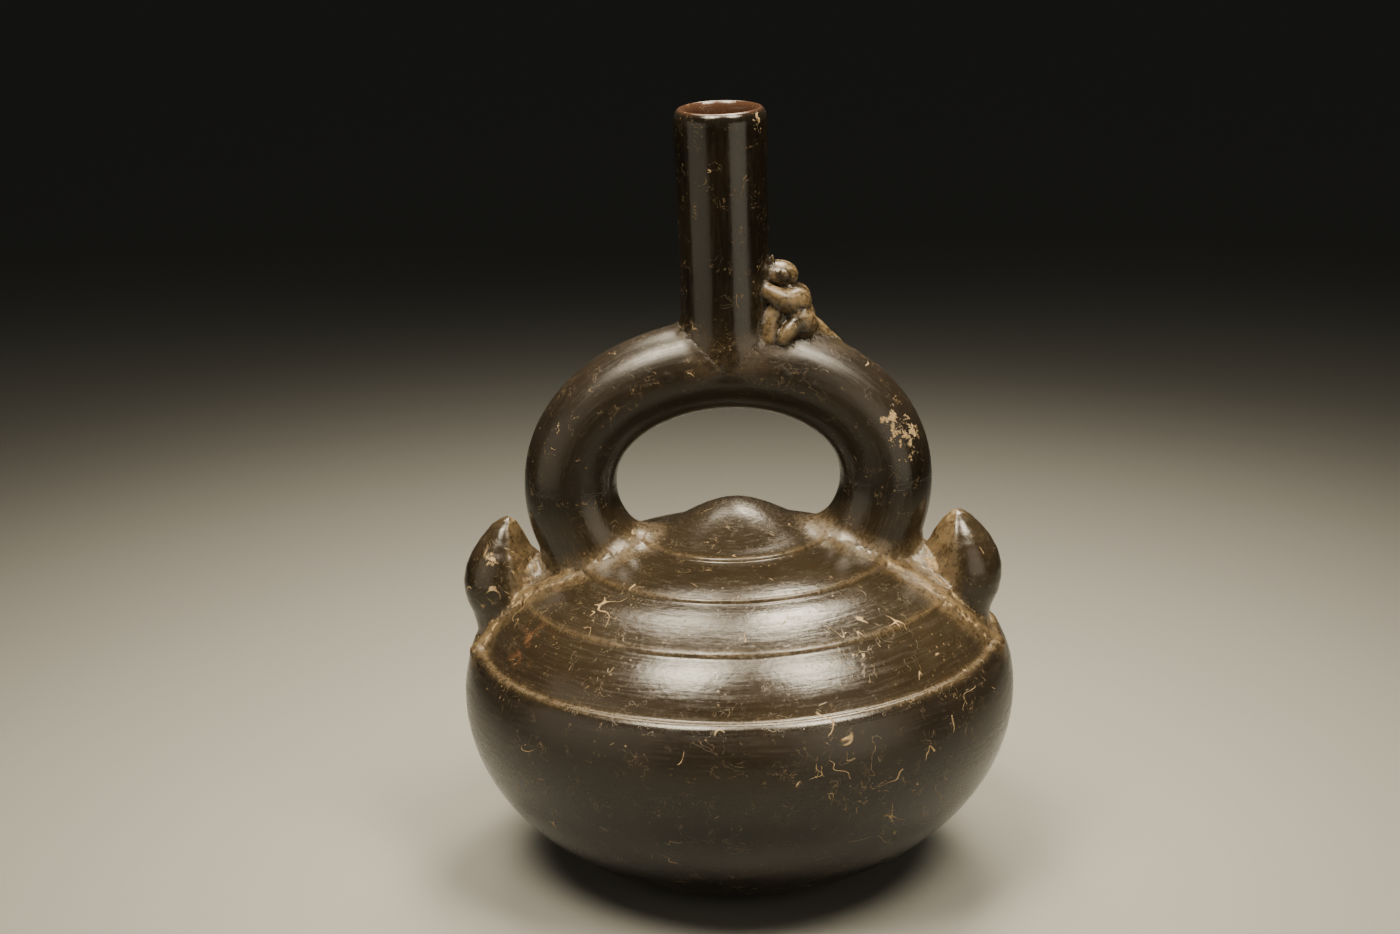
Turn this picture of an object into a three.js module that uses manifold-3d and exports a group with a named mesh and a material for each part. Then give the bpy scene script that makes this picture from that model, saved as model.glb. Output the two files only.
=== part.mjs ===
import * as THREE from "three";
import { mergeVertices } from "three/addons/utils/BufferGeometryUtils.js";
import Module from "manifold-3d";

// Stirrup spout vessel of burnished blackware, in millimetres. The origin is the centre of the flat
// underside, +Z is up, the stirrup stands in the XZ plane and the front looks toward -Y.
// The whole vessel is one piece of fired clay, hollow from the chamber up to the mouth.

// Chamber, lower bowl
const BODY_RADIUS = 77.5;
const WIDEST_HEIGHT = 52;
const BASE_RADIUS = 30;
const BASE_FLARE_ANGLE = 17;
const BASE_SWEEP = 25;
const BELLY_SWEEP = 26.3;
const CHAMBER_WALL = 4.5;

// Chamber, shoulder and raised rim
const SHOULDER_RISE = 14.2;
const SHOULDER_INSET = 4;
const RIM_RIDGE_WIDTH = 2.6;
const RIM_RIDGE_HEIGHT = 0.9;

// Chamber, stepped roof from the rim inward
const OUTER_BAND_WIDTH = 13.3;
const OUTER_BAND_RISE = 14.3;
const MIDDLE_BAND_WIDTH = 16.6;
const MIDDLE_BAND_RISE = 7.8;
const INNER_BAND_WIDTH = 17.6;
const INNER_BAND_RISE = 4.9;
const STEP_HEIGHT = 1.3;
const STEP_LEDGE = 0.5;
const BAND_CROWN = 0.6;
const PEAK_RISE = 8.9;
const PEAK_SHARPNESS = 1.4;

// Stirrup tube
const STIRRUP_RADIUS = 12.8;
const STIRRUP_WALL = 3.8;
const STIRRUP_HALF_SPAN = 43.7;
const STIRRUP_WAIST_ABOVE_RIM = 44.9;
const STIRRUP_CROWN_RISE = 33.5;
const STIRRUP_LEG_DROP = 34.5;
const STIRRUP_SQUARENESS = 0.92;
const STIRRUP_FOOT_ANGLE = 48;
const STIRRUP_SHIFT = -1.6;
const FOOT_FLARE_WIDTH = 2.4;
const FOOT_FLARE_HEIGHT = 5;

// Spout
const SPOUT_HEIGHT = 71;
const SPOUT_FOOT_RADIUS = 12.5;
const SPOUT_MOUTH_RADIUS = 12.7;
const SPOUT_WALL = 3;
const SPOUT_SHIFT = -1;
const LIP_HEIGHT = 4;
const LIP_ROUNDING = 1.7;
const LIP_INNER_BEVEL = 0.8;

// Pointed lugs on the shoulder
const LUG_LENGTH = 37.5;
const LUG_RADIUS = 10.4;
const LUG_OFFSET = 66;
const LUG_LEAN = 6;
const LUG_DEPTH = 18;
const LUG_WEB_THICKNESS = 8;
const LUG_NOTCH_HEIGHT = 5;

// Small seated animal behind the spout
const FIGURE_HEIGHT = 17.5;

// The vessel was thrown out of true: it leans toward -X, and the underside is ground flat
const LEAN_ANGLE = 1.7;
const GRINDING_ALLOWANCE = 1.2;

// Facets
const BODY_SIDES = 48;
const CAVITY_SIDES = 32;
const BOWL_STEPS = 8;
const SHOULDER_STEPS = 3;
const BAND_STEPS = 2;
const TUBE_HALF_SIDES = 9;
const TUBE_STEPS = 34;
const BORE_HALF_SIDES = 5;
const BORE_STEPS = 24;
const SPOUT_SIDES = 26;
const LUG_SIDES = 16;
const BALL_SIDES = 10;
const BALL_ROWS = 7;
const LIMB_SIDES = 8;

const wasm = await Module();
wasm.setup();

/** Turn a closed three.js geometry into a solid that can be joined and cut. */
function solid(geometry, matrix = new THREE.Matrix4()) {
  const bare = geometry.clone().applyMatrix4(matrix);
  bare.deleteAttribute("normal");
  bare.deleteAttribute("uv");
  const merged = mergeVertices(bare, 1e-4);
  const corners = merged.index.array;
  const kept = [];
  for (let i = 0; i < corners.length; i += 3) {
    const [a, b, c] = corners.slice(i, i + 3);
    if (a !== b && b !== c && c !== a) {
      kept.push(a, b, c);
    }
  }
  return new wasm.Manifold(new wasm.Mesh({
    numProp: 3,
    vertProperties: new Float32Array(merged.attributes.position.array),
    triVerts: new Uint32Array(kept),
  }));
}

/** Bring a solid back as a three.js geometry with flat faces. */
function geometryOf(manifold) {
  const mesh = manifold.getMesh();
  const geometry = new THREE.BufferGeometry();
  geometry.setAttribute("position", new THREE.BufferAttribute(mesh.vertProperties, 3));
  geometry.setIndex(new THREE.BufferAttribute(mesh.triVerts, 1));
  geometry.computeVertexNormals();
  return geometry;
}

/** Turn a profile of (radius, height) points about the Z axis. */
function turned(profile, sides) {
  return new THREE.LatheGeometry(profile, sides).rotateX(Math.PI / 2);
}

/** A ball stretched to three radii, turned about Y and put in place. */
function ball(centre, radii, tilt = 0) {
  const matrix = new THREE.Matrix4().compose(
    centre,
    new THREE.Quaternion().setFromAxisAngle(new THREE.Vector3(0, 1, 0), THREE.MathUtils.degToRad(tilt)),
    radii,
  );
  return solid(new THREE.SphereGeometry(1, BALL_SIDES, BALL_ROWS), matrix);
}

/** A tapered limb between two points, as a turned cone with round ends. */
function limb(start, end, startRadius, endRadius) {
  const length = start.distanceTo(end);
  const profile = [
    new THREE.Vector2(0, -0.8 * startRadius),
    new THREE.Vector2(0.75 * startRadius, -0.5 * startRadius),
    new THREE.Vector2(startRadius, 0),
    new THREE.Vector2(endRadius, length),
    new THREE.Vector2(0.75 * endRadius, length + 0.5 * endRadius),
    new THREE.Vector2(0, length + 0.8 * endRadius),
  ];
  const along = end.clone().sub(start).normalize();
  const turn = new THREE.Quaternion().setFromUnitVectors(new THREE.Vector3(0, 0, 1), along);
  const matrix = new THREE.Matrix4().compose(start, turn, new THREE.Vector3(1, 1, 1));
  return solid(turned(profile, LIMB_SIDES), matrix);
}

/** Points of the lower bowl from the foot ring to the widest place. */
function bowlCurve() {
  const flare = THREE.MathUtils.degToRad(BASE_FLARE_ANGLE);
  return new THREE.CubicBezierCurve(
    new THREE.Vector2(BASE_RADIUS, 0),
    new THREE.Vector2(BASE_RADIUS + BASE_SWEEP * Math.cos(flare), BASE_SWEEP * Math.sin(flare)),
    new THREE.Vector2(BODY_RADIUS, WIDEST_HEIGHT - BELLY_SWEEP),
    new THREE.Vector2(BODY_RADIUS, WIDEST_HEIGHT),
  );
}

const rimRadius = BODY_RADIUS - SHOULDER_INSET;
const rimHeight = WIDEST_HEIGHT + SHOULDER_RISE;

/** Curve of the shoulder from the widest place up to the crest of the rim. */
function shoulderCurve() {
  return new THREE.QuadraticBezierCurve(
    new THREE.Vector2(BODY_RADIUS, WIDEST_HEIGHT),
    new THREE.Vector2(BODY_RADIUS, WIDEST_HEIGHT + 0.62 * SHOULDER_RISE),
    new THREE.Vector2(rimRadius, rimHeight),
  );
}

// Each band runs inward and up from its outer edge, and a small step stands at its inner edge.
const bands = [
  { width: OUTER_BAND_WIDTH, rise: OUTER_BAND_RISE },
  { width: MIDDLE_BAND_WIDTH, rise: MIDDLE_BAND_RISE },
  { width: INNER_BAND_WIDTH, rise: INNER_BAND_RISE },
];

/** Corners of the roof without its steps: rim, the foot of each step, and the outer edge of the peak. */
function roofCorners() {
  const corners = [new THREE.Vector2(rimRadius, rimHeight)];
  let radius = rimRadius;
  let height = rimHeight;
  for (const band of bands) {
    radius -= band.width;
    height += band.rise + STEP_HEIGHT;
    corners.push(new THREE.Vector2(radius, height));
  }
  return corners;
}

/** Height of the peak above its outer edge, at a share of its radius: round on top, then flaring out. */
function peakRise(share) {
  return PEAK_RISE * (0.5 + 0.5 * Math.cos(Math.PI * share)) ** PEAK_SHARPNESS;
}

/** Roof profile from the rim to the peak, with the rim ridge, the crowned bands and the steps. */
function roofProfile() {
  const points = [];
  const corners = roofCorners();
  bands.forEach((band, index) => {
    const outer = corners[index];
    const inner = corners[index + 1];
    const foot = new THREE.Vector2(inner.x, inner.y - STEP_HEIGHT);
    for (let step = index === 0 ? 1 : 0; step < BAND_STEPS; step += 1) {
      const share = step / BAND_STEPS;
      const crown = 4 * BAND_CROWN * share * (1 - share);
      points.push(new THREE.Vector2().lerpVectors(outer, foot, share).add(new THREE.Vector2(0, crown)));
    }
    points.push(foot);
    points.push(new THREE.Vector2(inner.x - 0.2 * STEP_LEDGE, inner.y - 0.3 * STEP_HEIGHT));
    inner.x -= STEP_LEDGE;
  });
  const edge = corners[corners.length - 1];
  for (const share of [1, 0.75, 0.55, 0.38, 0.24, 0.12, 0]) {
    points.push(new THREE.Vector2(edge.x * share, edge.y + peakRise(share)));
  }
  return points;
}

/** Height of the roof at a distance from the axis, without the steps. */
function roofHeight(radius) {
  const corners = roofCorners();
  for (let i = 1; i < corners.length; i += 1) {
    const outer = corners[i - 1];
    const inner = corners[i];
    if (radius >= inner.x) {
      return outer.y + (inner.y - outer.y) * (outer.x - radius) / (outer.x - inner.x);
    }
  }
  const edge = corners[corners.length - 1];
  return edge.y + peakRise(radius / edge.x);
}

/** Solid outside shape of the chamber, a little too deep below so that the base can be ground flat. */
function chamberOutside() {
  const ridge = [
    new THREE.Vector2(rimRadius - 0.45 * RIM_RIDGE_WIDTH, rimHeight + RIM_RIDGE_HEIGHT),
    new THREE.Vector2(rimRadius - RIM_RIDGE_WIDTH, rimHeight + RIM_RIDGE_HEIGHT),
  ];
  const profile = [
    new THREE.Vector2(0, -GRINDING_ALLOWANCE),
    new THREE.Vector2(BASE_RADIUS - 2 * GRINDING_ALLOWANCE, -GRINDING_ALLOWANCE),
    ...bowlCurve().getPoints(BOWL_STEPS),
    ...shoulderCurve().getPoints(SHOULDER_STEPS).slice(1),
    ...ridge,
    ...roofProfile(),
  ];
  return solid(turned(profile, BODY_SIDES));
}

/** Points moved inward by the wall, square to the line that they make. */
function inset(points, wall) {
  return points.map((point, index) => {
    const before = points[Math.max(index - 1, 0)];
    const after = points[Math.min(index + 1, points.length - 1)];
    const along = after.clone().sub(before).normalize();
    return new THREE.Vector2(point.x - along.y * wall, point.y + along.x * wall);
  });
}

/** Hollow of the chamber: the outside profile without ridge and steps, one wall further in. */
function chamberInside() {
  const bowl = bowlCurve().getPoints(BOWL_STEPS);
  const shoulder = shoulderCurve().getPoints(SHOULDER_STEPS).slice(1);
  const wall = inset([...bowl, ...shoulder], CHAMBER_WALL);
  const under = roofCorners().slice(1).map((corner) => new THREE.Vector2(
    corner.x - 0.35 * CHAMBER_WALL,
    corner.y - STEP_HEIGHT - CHAMBER_WALL,
  ));
  const top = new THREE.Vector2(0, roofHeight(0) - 1.2 * CHAMBER_WALL);
  const profile = [new THREE.Vector2(0, CHAMBER_WALL), ...wall.slice(0, -1), ...under, top];
  return solid(turned(profile, CAVITY_SIDES));
}

const waistHeight = rimHeight + STIRRUP_WAIST_ABOVE_RIM;
const crownHeight = waistHeight + STIRRUP_CROWN_RISE;

/** Centre line of the stirrup: two half ellipses of one width, the lower one cut short at the feet. */
class StirrupCurve extends THREE.Curve {
  constructor(footAngle) {
    super();
    this.footAngle = THREE.MathUtils.degToRad(footAngle);
  }

  getPoint(t, target = new THREE.Vector3()) {
    const angle = Math.PI + this.footAngle - t * (Math.PI + 2 * this.footAngle);
    const rise = Math.sin(angle);
    const height = rise > 0 ? STIRRUP_CROWN_RISE * rise ** STIRRUP_SQUARENESS : STIRRUP_LEG_DROP * rise;
    return target.set(STIRRUP_SHIFT + STIRRUP_HALF_SPAN * Math.cos(angle), 0, waistHeight + height);
  }
}

/** Round bar along the stirrup's centre line. */
function stirrupBar(radius, footAngle, halfSides, steps) {
  const section = new THREE.Shape().absarc(0, 0, radius, 0, 2 * Math.PI);
  const extrudePath = new StirrupCurve(footAngle);
  return solid(new THREE.ExtrudeGeometry(section, { extrudePath, steps, curveSegments: halfSides }));
}

/** Share of the centre line, from its foot, at which one leg of the stirrup passes through the roof. */
function footShare(curve) {
  let below = 0;
  let above = 0.5;
  while (above - below > 1e-4) {
    const middle = (below + above) / 2;
    const point = curve.getPoint(middle);
    if (point.z < roofHeight(Math.abs(point.x))) {
      below = middle;
    } else {
      above = middle;
    }
  }
  return below;
}

/** Flare of clay smoothed round one foot of the stirrup: a low cone on the roof, sheared along the leg. */
function footFlare(side) {
  const curve = new StirrupCurve(STIRRUP_FOOT_ANGLE);
  const share = footShare(curve);
  const foot = curve.getPoint(side < 0 ? share : 1 - share);
  const leg = curve.getTangent(side < 0 ? share : 1 - share).multiplyScalar(-side);
  const reach = Math.abs(foot.x);
  const drop = roofHeight(reach - STIRRUP_RADIUS) - roofHeight(reach + STIRRUP_RADIUS);
  const roofSlope = Math.atan(drop / (2 * STIRRUP_RADIUS));
  const slant = Math.atan2(Math.abs(leg.x), leg.z) - roofSlope;
  const profile = [
    new THREE.Vector2(0, -2 * FOOT_FLARE_WIDTH),
    new THREE.Vector2(STIRRUP_RADIUS + FOOT_FLARE_WIDTH, -2 * FOOT_FLARE_WIDTH),
    new THREE.Vector2(STIRRUP_RADIUS + FOOT_FLARE_WIDTH, 0),
    new THREE.Vector2(STIRRUP_RADIUS + 0.35 * FOOT_FLARE_WIDTH, 0.4 * FOOT_FLARE_HEIGHT),
    new THREE.Vector2(STIRRUP_RADIUS - 0.3, FOOT_FLARE_HEIGHT),
    new THREE.Vector2(0, FOOT_FLARE_HEIGHT),
  ];
  const matrix = new THREE.Matrix4().makeTranslation(foot.x, foot.y, foot.z)
    .multiply(new THREE.Matrix4().makeRotationY(side * roofSlope))
    .multiply(new THREE.Matrix4().makeShear(0, 0, 0, 0, side * Math.tan(slant), 0))
    .multiply(new THREE.Matrix4().makeScale(1 / Math.cos(slant), 1, 1));
  return solid(turned(profile, 2 * TUBE_HALF_SIDES), matrix);
}

const mouthHeight = crownHeight + SPOUT_HEIGHT;
const spoutPlace = new THREE.Matrix4().makeTranslation(SPOUT_SHIFT, 0, 0);

/** Outside of the spout with its rounded lip. */
function spoutOutside() {
  const profile = [
    new THREE.Vector2(0, crownHeight),
    new THREE.Vector2(SPOUT_FOOT_RADIUS, crownHeight),
    new THREE.Vector2(SPOUT_MOUTH_RADIUS, mouthHeight - LIP_HEIGHT),
    new THREE.Vector2(SPOUT_MOUTH_RADIUS - 0.2 * LIP_ROUNDING, mouthHeight - 0.5 * LIP_HEIGHT),
    new THREE.Vector2(SPOUT_MOUTH_RADIUS - 0.55 * LIP_ROUNDING, mouthHeight - 0.17 * LIP_HEIGHT),
    new THREE.Vector2(SPOUT_MOUTH_RADIUS - LIP_ROUNDING, mouthHeight),
    new THREE.Vector2(0, mouthHeight),
  ];
  return solid(turned(profile, SPOUT_SIDES), spoutPlace);
}

/** Bore of the spout down to the stirrup's centre line, bevelled at the mouth. */
function spoutBore() {
  const foot = SPOUT_FOOT_RADIUS - SPOUT_WALL;
  const mouth = SPOUT_MOUTH_RADIUS - SPOUT_WALL;
  const profile = [
    new THREE.Vector2(0, crownHeight),
    new THREE.Vector2(foot, crownHeight),
    new THREE.Vector2(mouth, mouthHeight - 2 * LIP_INNER_BEVEL),
    new THREE.Vector2(mouth + LIP_INNER_BEVEL, mouthHeight),
    new THREE.Vector2(mouth + LIP_INNER_BEVEL, mouthHeight + LIP_HEIGHT),
    new THREE.Vector2(0, mouthHeight + LIP_HEIGHT),
  ];
  return solid(turned(profile, SPOUT_SIDES), spoutPlace);
}

/** Pod of a lug: a pointed egg that stands on the rim and leans toward the stirrup. */
function lugPod(side) {
  const shares = [[0, 0], [0.5, 0.05], [0.86, 0.2], [1, 0.42], [0.87, 0.63], [0.56, 0.82], [0.22, 0.96], [0, 1]];
  const profile = shares.map(([r, h]) => new THREE.Vector2(r * LUG_RADIUS, h * LUG_LENGTH));
  const matrix = new THREE.Matrix4().makeTranslation(STIRRUP_SHIFT + side * LUG_OFFSET, 0, rimHeight - 1)
    .multiply(new THREE.Matrix4().makeRotationY(THREE.MathUtils.degToRad(-side * LUG_LEAN)))
    .multiply(new THREE.Matrix4().makeScale(1, LUG_DEPTH / (2 * LUG_RADIUS), 1));
  return solid(turned(profile, LUG_SIDES), matrix);
}

/** Web of clay from a lug's inner side down to the foot of the stirrup, with a notch above it. */
function lugWeb(side) {
  const curve = new StirrupCurve(STIRRUP_FOOT_ANGLE);
  const foot = curve.getPoint(1 - footShare(curve)).x - STIRRUP_SHIFT;
  const notch = foot + 1.25 * STIRRUP_RADIUS;
  const lean = Math.tan(THREE.MathUtils.degToRad(LUG_LEAN));
  const high = 0.93 * LUG_LENGTH;
  const bevel = 0.3 * LUG_WEB_THICKNESS;
  const outline = new THREE.Shape([
    new THREE.Vector2(foot, roofHeight(foot) - CHAMBER_WALL / 2),
    new THREE.Vector2(LUG_OFFSET, rimHeight),
    new THREE.Vector2(LUG_OFFSET - lean * high, rimHeight + high - bevel),
    new THREE.Vector2(notch, roofHeight(notch) + LUG_NOTCH_HEIGHT),
    new THREE.Vector2(foot, roofHeight(foot)),
  ]);
  const web = new THREE.ExtrudeGeometry(outline, {
    depth: LUG_WEB_THICKNESS - 2 * bevel,
    bevelThickness: bevel,
    bevelSize: bevel / 2,
    bevelOffset: -bevel / 2,
    bevelSegments: 2,
  });
  const matrix = new THREE.Matrix4().makeTranslation(STIRRUP_SHIFT, 0, 0)
    .multiply(new THREE.Matrix4().makeRotationZ(side < 0 ? Math.PI : 0))
    .multiply(new THREE.Matrix4().makeTranslation(0, LUG_WEB_THICKNESS / 2 - bevel, 0))
    .multiply(new THREE.Matrix4().makeRotationX(Math.PI / 2));
  return solid(web, matrix);
}

/** Height of the stirrup's upper surface at a distance from its middle. */
function stirrupTop(x) {
  const share = x / STIRRUP_HALF_SPAN;
  const slope = STIRRUP_CROWN_RISE / STIRRUP_HALF_SPAN * share / Math.sqrt(1 - share ** 2);
  return waistHeight + STIRRUP_CROWN_RISE * Math.sqrt(1 - share ** 2) + STIRRUP_RADIUS * Math.hypot(1, slope);
}

/** Small seated animal that faces the spout and holds it, with its legs astride the stirrup. */
function figure() {
  const unit = FIGURE_HEIGHT;
  const spoutSide = SPOUT_SHIFT + SPOUT_FOOT_RADIUS;
  const seat = stirrupTop(spoutSide + 0.35 * unit - STIRRUP_SHIFT);
  const at = (x, y, z) => new THREE.Vector3(spoutSide + x * unit, y * unit, seat + z * unit);
  const size = (x, y, z) => new THREE.Vector3(x * unit, y * unit, z * unit);
  let body = ball(at(0.34, 0, 0.22), size(0.27, 0.33, 0.5), -16)
    .add(ball(at(0.2, 0, 0.83), size(0.23, 0.25, 0.19)))
    .add(ball(at(0.02, 0, 0.74), size(0.15, 0.15, 0.12), 20))
    .add(limb(at(0.02, 0, 0.8), at(0.05, 0, 1.13), 0.1 * unit, 0.03 * unit));
  for (const side of [-1, 1]) {
    body = body
      .add(ball(at(0.2, 0.24 * side, 0.86), size(0.07, 0.06, 0.08)))
      .add(limb(at(0.42, 0.24 * side, 0.5), at(-0.04, 0.3 * side, 0.36), 0.17 * unit, 0.14 * unit))
      .add(limb(at(0.5, 0.22 * side, -0.05), at(0.26, 0.46 * side, -0.02), 0.21 * unit, 0.19 * unit))
      .add(limb(at(0.26, 0.46 * side, -0.02), at(0.04, 0.5 * side, -0.24), 0.16 * unit, 0.12 * unit));
  }
  return body;
}

/** The whole vessel: all outsides joined, all hollows cut, leaned over and ground flat below. */
function vessel() {
  const outside = chamberOutside()
    .add(stirrupBar(STIRRUP_RADIUS, STIRRUP_FOOT_ANGLE, TUBE_HALF_SIDES, TUBE_STEPS))
    .add(footFlare(-1))
    .add(footFlare(1))
    .add(spoutOutside())
    .add(lugPod(-1))
    .add(lugPod(1))
    .add(lugWeb(-1))
    .add(lugWeb(1))
    .add(figure());
  const inside = chamberInside()
    .add(stirrupBar(STIRRUP_RADIUS - STIRRUP_WALL, STIRRUP_FOOT_ANGLE + 6, BORE_HALF_SIDES, BORE_STEPS))
    .add(spoutBore());
  const ground = new THREE.BoxGeometry(4 * BODY_RADIUS, 4 * BODY_RADIUS, BODY_RADIUS);
  const below = new THREE.Matrix4().makeTranslation(0, 0, -BODY_RADIUS / 2);
  return outside.subtract(inside).rotate([0, -LEAN_ANGLE, 0]).subtract(solid(ground, below));
}

const blackware = new THREE.MeshStandardMaterial({ color: 0x2b241e, roughness: 0.42, metalness: 0 });
const stirrupVessel = new THREE.Mesh(geometryOf(vessel()), blackware);
stirrupVessel.name = "stirrup_vessel";

const group = new THREE.Group();
group.add(stirrupVessel);

export default group;
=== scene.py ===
"""Stirrup spout vessel of burnished blackware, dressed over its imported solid.

All forms are worked out in millimetres, standing upright, and are smoothed into one another
where they meet. The joined vessel is then leaned a little and ground flat below, as the solid is.
"""
import logging
from dataclasses import dataclass, field
from enum import Enum
from functools import cached_property

import bpy
import numpy as np
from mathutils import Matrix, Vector


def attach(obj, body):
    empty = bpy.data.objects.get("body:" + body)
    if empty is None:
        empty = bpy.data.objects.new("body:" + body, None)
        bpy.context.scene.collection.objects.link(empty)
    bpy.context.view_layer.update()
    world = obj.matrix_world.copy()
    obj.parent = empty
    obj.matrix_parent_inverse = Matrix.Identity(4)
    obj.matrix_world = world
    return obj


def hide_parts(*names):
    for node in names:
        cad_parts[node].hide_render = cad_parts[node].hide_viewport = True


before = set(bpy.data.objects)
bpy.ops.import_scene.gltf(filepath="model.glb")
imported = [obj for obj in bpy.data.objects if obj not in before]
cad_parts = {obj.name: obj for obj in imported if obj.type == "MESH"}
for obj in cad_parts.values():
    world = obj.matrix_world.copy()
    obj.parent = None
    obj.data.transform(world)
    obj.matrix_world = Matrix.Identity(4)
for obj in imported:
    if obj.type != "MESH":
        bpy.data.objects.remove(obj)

log = logging.getLogger("vessel")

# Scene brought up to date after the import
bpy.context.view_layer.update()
NODE = "stirrup_vessel"
MM = 0.001
TURN = 2.0 * np.pi

Array = np.ndarray


# Small helpers on arrays and colours

def smooth(edge: float, full: float, value: Array) -> Array:
    """Smooth step from 0 at edge to 1 at full, which may lie below edge."""
    share = np.clip((value - edge) / (full - edge), 0.0, 1.0)
    return share * share * (3.0 - 2.0 * share)


def linear(code: str) -> tuple[float, float, float, float]:
    """Turn an sRGB colour into the linear colour that a shader expects.

    Args:
        code: six hex digits, red, green, blue.

    Returns:
        Linear red, green, blue and an alpha of one.
    """
    values = [int(code[i:i + 2], 16) / 255.0 for i in (0, 2, 4)]
    turned = [v / 12.92 if v <= 0.04045 else ((v + 0.055) / 1.055) ** 2.4 for v in values]
    return (turned[0], turned[1], turned[2], 1.0)


def resample(points: Array, count: int, bend: float = 0.0) -> Array:
    """Place points anew along a polyline, closer together where it bends.

    The density at each place is one plus bend times the turning angle per millimetre, and the new
    points stand at equal steps of the running sum of that density.

    Args:
        points: the polyline, one row a point.
        count: how many points to return.
        bend: how strongly the points gather at bends, in millimetres per radian.

    Returns:
        The new points, with both ends kept.
    """
    step = np.linalg.norm(np.diff(points, axis=0), axis=1)
    reach = np.concatenate([[0.0], np.cumsum(step)])
    density = np.ones(len(step))
    if bend > 0.0:
        along = np.diff(points, axis=0) / np.maximum(step, 1e-9)[:, None]
        turning = np.zeros(len(step))
        cosine = np.clip(np.sum(along[1:] * along[:-1], axis=1), -1.0, 1.0)
        turning[1:] = np.arccos(cosine) / np.maximum(step[1:], 1e-9)
        width = max(3, len(step) // 150)
        turning = np.convolve(turning, np.ones(width) / width, mode="same")
        density = 1.0 + bend * turning
    total = np.concatenate([[0.0], np.cumsum(density * step)])
    places = np.interp(np.linspace(0.0, total[-1], count), total, reach)
    return np.stack([np.interp(places, reach, points[:, k]) for k in range(points.shape[1])], 1)


def soften(points: Array, spacing: float, width: float) -> Array:
    """Round a polyline's corners: a Gaussian mean of its points along its length.

    Args:
        points: the polyline, one row a point.
        spacing: distance between the points of the result, in mm.
        width: standard deviation of the Gaussian, in mm.

    Returns:
        The softened polyline, with both ends kept.
    """
    length = np.linalg.norm(np.diff(points, axis=0), axis=1).sum()
    fine = resample(points, int(length / spacing) + 2)
    reach = int(4.0 * width / spacing) + 1
    weight = np.exp(-0.5 * (np.arange(-reach, reach + 1) * spacing / width) ** 2)
    weight /= weight.sum()
    before = 2.0 * fine[0] - fine[reach:0:-1]
    after = 2.0 * fine[-1] - fine[-2:-reach - 2:-1]
    long = np.concatenate([before, fine, after])
    columns = [np.convolve(long[:, k], weight, mode="valid") for k in range(long.shape[1])]
    return np.stack(columns, 1)


def nearest(points: Array, line: Array) -> tuple[Array, Array, Array]:
    """Find the nearest place on a polyline for many points.

    Each point is dropped square onto every segment, and the closest foot is kept.

    Args:
        points: N points in two or three dimensions.
        line: M points of the polyline.

    Returns:
        Distance, position along the line counted in segments, and the index of the segment.
    """
    start = line[:-1]
    along = np.diff(line, axis=0)
    square = np.maximum(np.sum(along * along, axis=1), 1e-12)
    distance = np.empty(len(points))
    place = np.empty(len(points))
    segment = np.empty(len(points), int)
    chunk = 8192
    for first in range(0, len(points), chunk):
        span = slice(first, first + chunk)
        part = points[span]
        offset = part[:, None, :] - start[None, :, :]
        share = np.clip(np.sum(offset * along, axis=2) / square, 0.0, 1.0)
        gap = offset - share[:, :, None] * along
        gap = np.sum(gap * gap, axis=2)
        best = np.argmin(gap, axis=1)
        rows = np.arange(len(part))
        distance[span] = np.sqrt(gap[rows, best])
        place[span] = best + share[rows, best]
        segment[span] = best
    return distance, place, segment


def tilted(points: Array, degrees: float) -> Array:
    """Points turned about Y, from upright toward +X.

    Args:
        points: places, one row a point or a grid of rows.
        degrees: the angle.

    Returns:
        The turned places.
    """
    c, s = np.cos(np.radians(degrees)), np.sin(np.radians(degrees))
    x, y, z = np.moveaxis(points, -1, 0)
    return np.stack([x * c + z * s, y, z * c - x * s], -1)


def oval_distance(points: Array, radii: Array) -> Array:
    """Near distance to an oval or oval ball round the origin, below zero inside.

    It is k0 (k0 - 1) / k1, where k0 and k1 are the lengths of p / r and of p / r squared.

    Args:
        points: places p in two or three dimensions.
        radii: the radii r, for all points or one row a point.

    Returns:
        The distance of each point.
    """
    k0 = np.linalg.norm(points / radii, axis=1)
    k1 = np.maximum(np.linalg.norm(points / radii ** 2, axis=1), 1e-9)
    return k0 * (k0 - 1.0) / k1


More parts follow.
